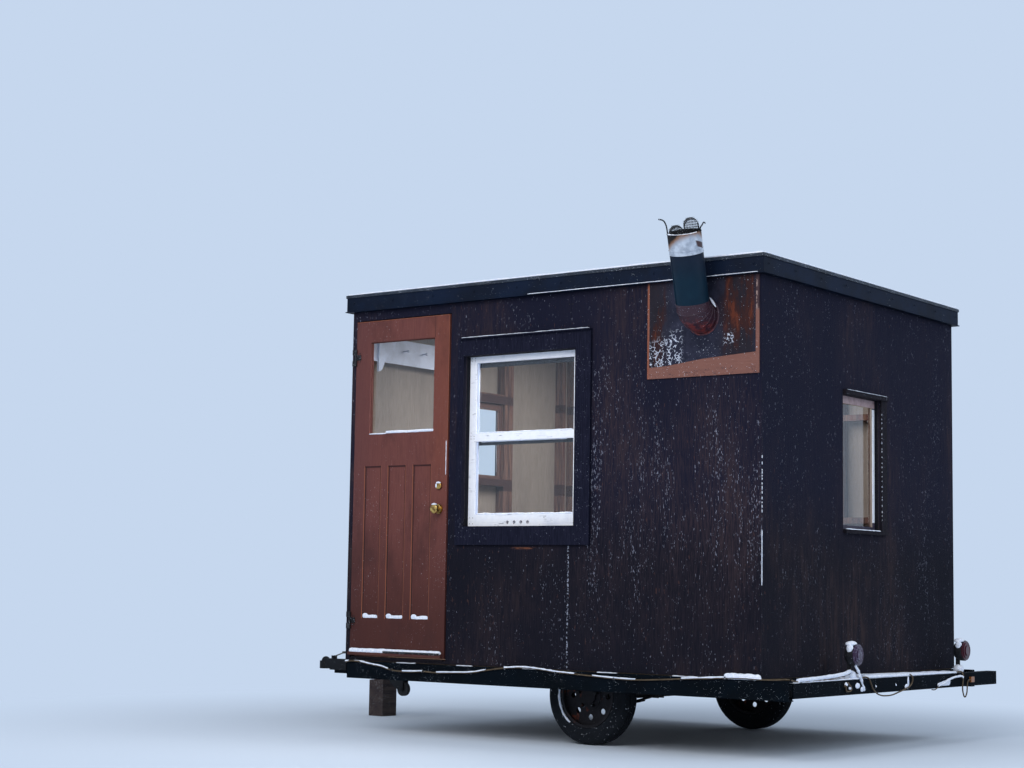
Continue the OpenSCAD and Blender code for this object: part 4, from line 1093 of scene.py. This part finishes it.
def snow_on_window():
    """Snow on the drip cap and on the ledges of the front sash, and frost lines round the right window."""
    snow_strip("snow_drip_cap", (-560, -1207, 2303), (350, -1192, 2309), pitch=0.03, lumps=0.003, swell=0.003)
    snow_front = SASH_FRONT + 1
    snow_strip("snow_meeting_bar", (-480, snow_front, 1748), (190, -1113, 1757), pitch=0.02)
    snow_strip("snow_under_bar", (-470, -1120, 1699), (150, -1110, 1705), pitch=0.025)
    snow_strip("snow_bottom_rail", (-488, snow_front, 1278), (196, -1112, 1290), pitch=0.02, lumps=0.006)
    snow_strip("snow_right_sill", (1437, -271, 1214), (1446, 157, 1221), pitch=0.03, lumps=0.002, swell=0.003)
    frost_dots("frost_right_casing", 1437, 186, 1282, 1914, 2)
    snow_strip("frost_flashing", (1440, -260, 1992), (1448, 246, 1996), pitch=0.04, lumps=0.0015, swell=0.002)


def snow_on_door():
    """Snow in the light, in the feet of the panels, on the weather bar and on the knob."""
    snow_strip("snow_light_sill", (-1278, -1186, 1766), (-1130, -1160, 1776), "door", 0.03, 0.003)
    snow_strip("snow_light_sill_right", (-1150, -1186, 1768), (-765, -1160, 1788), "door", 0.03, 0.004)
    for index, (left, width) in enumerate(zip(PANEL_LEFT, PANEL_WIDTH), 1):
        start = LEAF_LEFT + left
        snow_strip(f"snow_panel_foot_{index}", (start + 4, LEAF_FRONT, 669), (start + width - 3, -1172, 692),
                   "door", 0.02, 0.006)
        snow_cap(f"snow_panel_peak_{index}", (start + 26, -1177, 687), (22, 5, 14), "door", 0.5)
    snow_strip("snow_weather_bar", (-1382, -1205, 462), (-671, -1182, 494), "door", 0.03, 0.005)
    snow_strip("snow_leaf_edge", (-674, -1184, 1511), (-669, -1180, 1716), "door", 0.02, 0.002, swell=0.003)
    snow_cap("snow_knob", (LOCK_LINE, -1226, 1339), (19, 13, 8), "door_knob")
    snow_cap("snow_deadbolt", (LOCK_LINE, -1192, 1466), (18, 7, 8), "door")
    snow_cap("snow_deadbolt_side", (-731, -1195, 1450), (6, 4, 13), "door", 0.9)


def snow_on_rail():
    """Crusts along the cable and heaps on the front rail."""
    along = all_at(*((END_FACE - x, FRONT_FACE - 1.5 - y, z + 4.5) for x, y, z in CABLE_ALONG_RAIL))
    runs = ((9, 12), (14, 18), (19, 21), (22, 25), (26, 30), (31, 33), (35, 39))
    crusts = [draw_cable("cable_snow", along[first:last + 1], 0.0042) for first, last in runs]
    finish_snow(join_pieces("snow_cable", crusts), "hut", 0.005)
    heaps = ((-1352, 96), (-1010, 150), (-560, 120), (-90, 210), (420, 130), (900, 160))
    wall_side = FRONT_FACE - 3
    for index, (start, length) in enumerate(heaps, 1):
        snow_strip(f"snow_rail_{index}", (start, -1203, 413), (start + length, wall_side, 420), pitch=0.025,
                   lumps=0.003)
    snow_strip("snow_rail_heap", (1219, -1212, 411), (1440, wall_side, 446), pitch=0.04, lumps=0.007,
               swell=0.008)


def snow_on_bar():
    """Snow on the light bar, on the leads that hang over it and at its holes."""
    snow_strip("snow_bar_start", (1500, -1150, BAR_TOP), (1600, -1058, 409), pitch=0.025, lumps=0.002, rows=3)
    snow_strip("snow_bar_first", (1520, -1060, BAR_TOP), (1600, -395, 409), lumps=0.003, rows=3, lift=(0, 8))
    snow_strip("snow_bar_second", (1500, -350, BAR_TOP), (1601, 836, 411), rows=3, lift=(16, 6))
    lead = ((1592, -1090, 408), (1592, -1000, 411), (1591, -880, 414), (1590, -760, 418), (1588, -640, 424),
            (1584, -550, 431), (1578, -490, 440), (1566, -460, 460))
    hand_over(draw_cable("lamp_lead", all_at(*lead), 0.004), "cable_jacket")
    snow_tube("snow_lamp_lead", all_at(*((x, y, z + 9) for x, y, z in lead[:-1])), 0.0105)
    branch = all_at(*((END_FACE + 1.5 + x, FRONT_FACE + y, z + 5) for x, y, z in MARKER_BRANCH[3:]))
    snow_tube("snow_marker_lead", branch, 0.0062)
    drop = ((1590, -478, 500), (1604, -462, 470), (1606, -440, 440), (1606, -415, 405), (1605, -392, 372),
            (1604, -372, 345))
    snow_tube("snow_lamp_drop", all_at(*drop), 0.0065, 0.018)
    knot = ((1606, -610, 372), (1612, -585, 392), (1607, -555, 382), (1613, -540, 358), (1606, -570, 346),
            (1612, -600, 360), (1607, -575, 388), (1611, -545, 372))
    hand_over(draw_cable("lamp_plug_lead", all_at(*knot), 0.004), "cable_jacket")
    snow_cap("snow_plug", (1608, -592, 384), (8, 14, 12), lean=0.8)
    snow_cap("snow_plug_foot", (1607, -548, 362), (7, 16, 9), lean=0.8)
    snow_cap("snow_loop_side", (1604, 162, 374), (4, 9, 34), lean=0.95)
    snow_cap("snow_loop_foot", (1604, 144, 350), (4, 26, 15), lean=0.95)
    snow_strip("snow_branch_wedge", (1600, 545, 338), (1606, 722, 360), pitch=0.03, lift=(-6, 20))
    for index, y in enumerate(LAMPS_ACROSS, 1):
        snow_cap(f"snow_lamp_{index}", (1576, y - 16, 593), (29, 44, 17))
        snow_cap(f"snow_lamp_side_{index}", (1584, y - 48, 570), (20, 16, 26), lean=0.8)
        snow_cap(f"snow_lamp_foot_{index}", (1562, y, 425), (30, 40, 30), lean=0.7)
    for index, (y, z, width, high) in enumerate(((-452, 372, 26, 16), (-400, 352, 18, 14)), 1):
        snow_cap(f"snow_bar_clump_{index}", (1603, y, z), (6, width, high), lean=0.9)
    for index, y in enumerate((-230, 15), 1):
        snow_cap(f"snow_bar_hole_{index}", (1600, y, 362), (4, 8, 6), lean=0.8)


def snow_on_ends():
    """Snow on the coupler and the block at one end, and down the front corner at the other."""
    snow_strip("snow_coupler", (-2596, -20, 351), (-2460, 20, 358), pitch=0.02, lumps=0.003)
    snow_strip("snow_block_top", (-2196, -66, 236), (-2172, 60, 244), pitch=0.02)
    snow_strip("snow_corner_line", (1423, -1171, 894), (1428, -1164, 1187), pitch=0.02, lumps=0.002,
               swell=0.003)
    frost_dots("snow_corner_dots", END_FACE, -1167, 1279, 1584, 3)


# The door

def build_door_panels():
    """Each sunk panel gets a sloped edge all round: a board whose front is inset and pushed back."""
    sink = 9
    for index, (left, width) in enumerate(zip(PANEL_LEFT, PANEL_WIDTH), 1):
        start = LEAF_LEFT + left
        piece = start_box(f"door_panel_{index}", at(start, LEAF_FRONT + 0.8, 671),
                          at(start + width, LEAF_FRONT + sink, 1577))
        open_piece(piece)
        pick(piece, "FACE", lambda middle, normal: normal.y < -0.9)
        bpy.ops.mesh.inset(thickness=0.013, depth=0)
        bpy.ops.transform.translate(value=(0, 0.0068, 0))
        bpy.ops.mesh.inset(thickness=0.004, depth=0)
        bpy.ops.transform.translate(value=(0, -0.0012, 0))
        close_piece()
        hand_over(piece, "door_paint", "door")


def bead_light():
    """Four stop beads round the glass of the door."""
    left, right, foot, head = -1273, -774, 1771, 2327
    width, front, back = 4, -1166, -1158
    beads = [bar("bead", (left, front, foot), (left + width, back, head)),
             bar("bead", (right - width, front, foot), (right, back, head)),
             bar("bead", (left + width, front, foot), (right - width, back, foot + width)),
             bar("bead", (left + width, front, head - width), (right - width, back, head))]
    hand_over(join_pieces("door_light_beads", beads), "door_paint", "door")


def finish_door():
    """Stop beads of the light, the lock's rings and keyhole, pale strips on its edges, a strip and screws on
    the leaf.
    """
    bead_light()
    lock = (0.0175, 0.0022, -1193, 1450)
    knob = (0.0225, 0.0020, -1197, 1314)
    rings = [start_ring(radius, thick, Matrix.Translation(at(LOCK_LINE, front, level)) @ TO_FRONT, 40)
             for radius, thick, front, level in (lock, knob)]
    hand_over(join_pieces("lock_rings", rings), "brass", "door")
    hand_over(bar("keyhole", (-718.5, -1197, 1444), (-715.5, -1195, 1456), 0.0005), "coupler_steel", "door")
    hand_over(bar("weather_bar_strip", (-1105, -1209, 470), (-671, -1206, 481)), "hinge_steel", "door")
    # Pale strips along the leaf's right and top edges.
    edges = [bar("leaf_right_edge", (-665, -1182.5, 1716), (-661.5, -1180, 2456), 0.0008),
             bar("leaf_top_edge", (-1387, -1182.5, 2453), (-665, -1180, 2456.5), 0.0008)]
    hand_over(join_pieces("leaf_pale_edges", edges), "patch_paint", "door")
    screws = all_at(*((-1372 + x, LEAF_FRONT, z) for z in (630, 656, 682, 2214, 2240, 2266) for x in (4, 14)))
    set_buttons("hinge_screws", screws, "hinge_steel", radius=0.003, height=0.001, body="door")


# The windows

def finish_windows():
    """Stop strips beside the front glass, rims of the vent holes and nails in the sash and the casing."""
    strips = [bar("stop_strip", (left, -1118, 1281), (right, -1107.5, 2161), 0.001)
              for left, right in ((-494, -486), (196, 201))]
    hand_over(join_pieces("glass_stop_strips", strips), "pale_board")
    rims = [start_ring(0.0078, 0.0014, Matrix.Translation(at(x, SASH_FRONT, 1236)) @ TO_FRONT, 24, 6)
            for x in (-254, -206, -158, -110)]
    hand_over(join_pieces("vent_hole_rims", rims), "weather_bar_paint")
    corners = [(x, z) for x in (-529, -506, 213, 236) for z in (1228, 1262, 1720, 1734, 2176, 2190)]
    set_buttons("sash_nails", all_at(*((x, SASH_FRONT, z) for x, z in corners)), "hinge_steel",
                radius=0.0022, height=0.0008)
    sides = [(x, z) for x in (-549, 280, 338) for z in (1180, 1390, 1600, 1810, 2020, 2230)]
    ends = [(x, z) for x in (-420, -200, 20) for z in (1135, 2272)]
    set_buttons("casing_nails", all_at(*((x, CASING_FRONT, z) for x, z in sides + ends)), "casing_paint",
                radius=0.004, height=0.0015)


# The walls and the roof

def outside_gaps(across, *gaps):
    """Places of nails at some columns, but in none of the gaps: (low, high) across and (low, high) up."""
    levels = range(450, 2500, 200)
    return [(column, level) for column in across for level in levels
            if not any(left < column < right and low < level < high for left, right, low, high in gaps)]


def nail_faces(kind, long_spots, end_spots, side, end, slot, **look):
    """Heads on all four faces: side and end are how far the faces lie from the middle, in millimetres."""
    front, back = long_spots
    right, left = end_spots
    set_buttons(f"{kind}_front", [at(x, -side, z) for x, z in front], slot, 0, **look)
    set_buttons(f"{kind}_right", [at(end, y, z) for y, z in right], slot, 90, **look)
    set_buttons(f"{kind}_back", [at(x, side, z) for x, z in back], slot, 180, **look)
    set_buttons(f"{kind}_left", [at(-end, y, z) for y, z in left], slot, -90, **look)


def drive_nails():
    """Nails hold the siding at its edges and on every stud, and screws hold the fascia."""
    door_gap = (-1430, -630, 400, 2520)
    window_gap = (-575, 365, 1090, 2315)
    patch_gap = (710, 1430, 1985, 2530)
    front = outside_gaps((-620, -206, 196, 216, 610, 1016, 1414), door_gap, window_gap, patch_gap)
    back = outside_gaps((-1414, -1016, -610, -206, 200, 212, 610, 1016, 1414))
    end_columns = (-1164, -785, -394, 12, 400, 800, 1164)
    right = outside_gaps(end_columns, (-290, 270, 1175, 2010))
    left = outside_gaps(end_columns, (-345, 345, 1490, 2170))
    nail_faces("siding_nails", (front, back), (right, left), BACK_FACE, END_FACE, "spring_steel")
    fascia_middle = 2572
    along = [(step * 310 - 1395, fascia_middle) for step in range(10)]
    across = [(step * 290 - 1160, fascia_middle) for step in range(9)]
    nail_faces("fascia_screws", (along, along), (across, across), 1212, 1462, "fascia_metal",
               radius=0.0055, height=0.002, sides=6)


# The flue

FLUE_FOOT = at(1074, -1213, 2317)
FLUE_LEAN = math.radians(5)
FLUE_TURN = 69
BEND = 93
COLLAR_RINGS = (268, 290, 377)
COLLAR_TOP = 378


def on_flue(turn, along=0.0):
    """A place on the flue's middle line: turn is the bend in degrees, along millimetres beyond it."""
    angle = math.radians(turn)
    bent = Vector((0, -BEND * math.sin(angle), BEND * (1 - math.cos(angle)))) / 1000
    return (Matrix.Translation(FLUE_FOOT) @ Matrix.Rotation(FLUE_LEAN, 4, "Y") @ Matrix.Translation(bent)
            @ Matrix.Rotation(math.radians(90 - turn), 4, "X") @ Matrix.Translation((0, 0, along / 1000)))


def finish_flue():
    """Beads where the gores meet, the pipe's lock seam, rings on the collar and snow."""
    beads = [start_ring(0.0895, 0.0022, on_flue(FLUE_TURN * step / 4)) for step in range(5)]
    hand_over(join_pieces("elbow_beads", beads), "elbow_steel")
    seam = start_box("pipe_seam", (-0.004, -0.0915, 0.003), (0.004, -0.0885, 0.263))
    soften(seam, 0.001)
    seam.data.transform(on_flue(FLUE_TURN) @ Matrix.Rotation(math.radians(-38), 4, "Z"))
    hand_over(seam, "pipe_paint")
    rings = [start_ring(0.0905, 0.0020, on_flue(FLUE_TURN, along)) for along in COLLAR_RINGS]
    hand_over(join_pieces("collar_rings", rings), "bare_collar")
    turns = [math.radians(195 + 13 * step) for step in range(13)]
    rim = [on_flue(FLUE_TURN, COLLAR_TOP) @ Vector((0.085 * math.cos(turn), 0.085 * math.sin(turn), 0))
           for turn in turns]
    snow_tube("snow_collar_rim", rim, 0.0042)
    thimble = start_ring(0.098, 0.006, Matrix.Translation(at(1074, -1187, 2317)) @ TO_FRONT)
    thimble.name = "thimble_ring"
    hand_over(thimble, "elbow_steel")
    snow_cap("snow_elbow_wedge", (1151, -1211, 2383), (6, 9, 34), lean=2, turn=-35)


def wire_net(net, thick, move):
    """In edit mode: splits a sheet into triangles, turns their edges into wire and moves it to its place."""
    bpy.ops.mesh.select_all(action="SELECT")
    bpy.ops.mesh.quads_convert_to_tris(quad_method="FIXED_ALTERNATE", ngon_method="BEAUTY")
    close_piece()
    apply_modifier(net, "WIREFRAME", thickness=thick, use_replace=True)
    net.data.transform(move)
    return net


def roll_mesh():
    """Diamond wire mesh over the two arched rolls of the spark screen, and its two strap bars."""
    top = on_flue(FLUE_TURN, 366) @ Matrix.Rotation(math.radians(37), 4, "Z")
    nets = []
    for across, radius, tall in ((-0.039, 0.0365, 0.012), (0.041, 0.0375, 0.042)):
        select_only()
        bpy.ops.mesh.primitive_cylinder_add(vertices=20, radius=radius, depth=0.070, end_fill_type="NOTHING",
                                            rotation=(QUARTER, 0, 0))
        net = settle("net")
        open_piece(net)
        pick(net, "FACE", lambda middle, normal: middle.z < 0)
        bpy.ops.mesh.delete(type="FACE")
        pick(net, "EDGE", lambda middle, way: abs(middle.z) < 0.001 and abs(way.y) > 0.05)
        bpy.ops.mesh.extrude_region_move(TRANSFORM_OT_translate={"value": (0, 0, -tall)})
        pick(net, "EDGE", lambda middle, way: abs(way.y) > 0.05)
        bpy.ops.mesh.subdivide(number_cuts=7)
        pick(net, "EDGE", lambda middle, way: middle.z < 0 and abs(way.z) > 0.02)
        bpy.ops.mesh.subdivide(number_cuts=4)
        nets.append(wire_net(net, 0.0019, top @ Matrix.Translation((across, 0, tall))))
        for side in (-0.0345, 0.0345):
            select_only()
            bpy.ops.mesh.primitive_grid_add(x_subdivisions=5, y_subdivisions=6, size=1,
                                            rotation=(QUARTER, 0, 0))
            face = settle("net_end", (2 * radius, radius + tall, 1))
            face.data.transform(Matrix.Translation((0, 0, (radius - tall) / 2)))
            open_piece(face)
            pick(face, "FACE", lambda middle, normal: middle.z > 0
                 and math.hypot(middle.x, middle.z) > radius)
            bpy.ops.mesh.delete(type="FACE")
            nets.append(wire_net(face, 0.0015, top @ Matrix.Translation((across, side, tall))))
    hand_over(join_pieces("spark_screen_mesh", nets), "screen_wire", smooth=False)
    strap_out = 0.0865
    straps = ((-1, ((0, -0.040), (0, 0.020), (0.006, 0.072), (0.016, 0.088), (0.038, 0.097))),
              (1, ((0, -0.040), (0, 0.022), (0.012, 0.038), (0.022, 0.049), (0.029, 0.043))))
    bars = []
    for side, line in straps:
        points = [top @ Vector((side * (strap_out + out), 0, z)) for out, z in line]
        bars.append(draw_cable("strap_bar", points, 0.0038))
    hand_over(join_pieces("screen_strap_bars", bars), "screen_wire")


# The trailer

CABLE_ALONG_RAIL = (
    (2817, -1145, 330), (2817, -1120, 330), (2817, -1060, 352), (2817, -900, 368), (2817, -700, 360),
    (2817, -480, 372), (2817, -260, 362), (2817, -80, 384), (2817, 0, 400), (2818, 26, 408), (2815, 36, 411),
    (2808, 38, 412), (2790, 37, 414), (2750, 37, 416), (2700, 37, 413), (2646, 37, 405), (2590, 37, 398),
    (2534, 37, 392), (2480, 37, 378), (2368, 37, 368), (2290, 37, 370), (2216, 37, 374), (2111, 37, 371),
    (1980, 37, 376), (1857, 37, 382), (1755, 37, 398), (1620, 37, 416), (1481, 37, 424), (1370, 37, 418),
    (1264, 37, 408), (1140, 37, 402), (1020, 37, 396), (880, 37, 389), (742, 37, 387), (600, 37, 394),
    (454, 37, 404), (320, 37, 412), (188, 37, 420), (80, 37, 422), (-24, 37, 420), (-100, 35, 421),
    (-145, 22, 424), (-162, -8, 423))
CABLE_ALONG_BAR = (
    (165, 24, 421), (166, 60, 413), (166, 120, 411), (166, 260, 411), (166, 420, 411), (166, 580, 411),
    (166, 700, 411), (168, 790, 411), (175, 825, 415), (184, 845, 407), (187, 860, 386), (186, 885, 356),
    (186, 920, 332), (186, 975, 315), (186, 1043, 309), (186, 1120, 311), (186, 1200, 323), (186, 1290, 339),
    (186, 1350, 355), (186, 1378, 380), (185, 1376, 405), (177, 1368, 415), (168, 1382, 411),
    (166, 1500, 411), (166, 1700, 411), (166, 1900, 411), (168, 2010, 411), (175, 2042, 415),
    (184, 2056, 407), (187, 2056, 370), (188, 2046, 325), (189, 2052, 288), (190, 2072, 266),
    (191, 2094, 282), (191, 2104, 312), (189, 2110, 338), (186, 2128, 357), (184, 2146, 363),
    (184, 2165.6, 363))
MARKER_BRANCH = (
    (158, 1686, 320), (176, 1689, 320), (184, 1697, 327), (186, 1716, 336), (187, 1784, 349),
    (187, 1850, 366), (187, 1903, 377), (187, 1980, 383), (187, 2030, 384), (187, 2052, 378))


def run_cables():
    """The wiring that is fastened to the rail and the light bar, with the clips that hold it."""
    along_rail = all_at(*((END_FACE - x, FRONT_FACE - y, z) for x, y, z in CABLE_ALONG_RAIL))
    along_bar = all_at(*((END_FACE + x, FRONT_FACE + y, z) for x, y, z in CABLE_ALONG_BAR))
    branch = all_at(*((END_FACE + x, FRONT_FACE + y, z) for x, y, z in MARKER_BRANCH))
    tubes = [draw_cable("tube", along_rail, 0.004), draw_cable("tube", along_bar, 0.004),
             draw_cable("tube", branch, 0.003)]
    wiring = hand_over(join_pieces("wiring_tubes", tubes), "cable_jacket")
    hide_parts("wiring_cable")
    places = ((-1270, 411), (-1030, 376), (-790, 373), (-432, 382), (-195, 414), (161, 407), (545, 389),
              (971, 403), (1237, 419))
    clips = [bar("clip", (x - 5, -1217.5, z - 8), (x + 5, -1205, z + 8)) for x, z in places]
    hand_over(join_pieces("cable_clips", clips), "hinge_steel")


def finish_wheels():
    """Wheel nuts round each hub, the tyre's valve, and an arc of snow on the front rim."""
    hub_x, hub_z, nut_circle = 189, 270, 62
    for side, facing in ((-1, "front"), (1, "back")):
        nuts = []
        for step in range(5):
            angle = math.radians(90 + 72 * step)
            x = hub_x + nut_circle * math.cos(angle)
            z = hub_z + nut_circle * math.sin(angle)
            low, high = sorted((side * 940, side * 960))
            nut = start_rod("nut", at(x, low, z), at(x, high, z), 0.011, 6)
            soften(nut)
            nuts.append(nut)
        low, high = sorted((side * 940, side * 968))
        valve = start_rod("valve", at(hub_x + 148, low, hub_z), at(hub_x + 148, high, hub_z), 0.004, 12)
        soften(valve, 0.0012)
        nuts.append(valve)
        hand_over(join_pieces(f"wheel_nuts_{facing}", nuts), "axle_steel", f"{facing}_wheel")
    low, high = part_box("front_tyre")
    tyre_radius = 0.27
    rim_radius = 0.187
    turns = [math.radians(150 + 12 * step) for step in range(8)]
    arc = [Vector((low.x + tyre_radius + rim_radius * math.cos(turn), low.y,
                   low.z + tyre_radius + rim_radius * math.sin(turn))) for turn in turns]
    snow_tube("snow_front_wheel", arc, 0.0055, 0.008, "front_wheel")


def finish_lamps():
    """Moulded rings on the lens of each lamp."""
    for index, y in enumerate(LAMPS_ACROSS, 1):
        rings = [start_ring(radius, 0.0016, Matrix.Translation(at(x, y, 536)) @ TO_END, 56, 6)
                 for radius, x in ((0.044, 1617), (0.038, 1617), (0.028, 1622))]
        hand_over(join_pieces(f"lens_rings_{index}", rings), "lamp_lens")


def lay_floor():
    """A plain pale floor that keeps the shadow near the hut and fades into the backdrop further out."""
    select_only()
    bpy.ops.mesh.primitive_plane_add(size=300, location=(0, 0, -0.0005))
    floor = bpy.context.object
    floor.name = "floor"
    paint = Paint("pale_floor", 0.95, 0.0)
    paint.set("Base Color", (0.62, 0.71, 0.84, 1))
    x, y = paint.axes("XY")
    far = reach(x - MIDDLE.x, y - MIDDLE.y).fade(1.9, 5.0) * seen_directly(paint.tree)
    glow = new_node(paint.tree, "Emission")
    join(BACKDROP, glow.inputs["Color"])
    swap_shaders(paint.tree, far, paint.shader, glow)
    floor.data.materials.append(paint.material)


place_camera()
light_scene()
FINISH = make_finishes()
SNOW = snow()
dress_frame()
run_cables()
build_door_panels()
finish_door()
finish_windows()
drive_nails()
finish_flue()
roll_mesh()
finish_wheels()
finish_lamps()
snow_on_roof()
snow_on_window()
snow_on_door()
snow_on_rail()
snow_on_bar()
snow_on_ends()
lay_floor()
bpy.context.scene.view_settings.view_transform = "Standard"
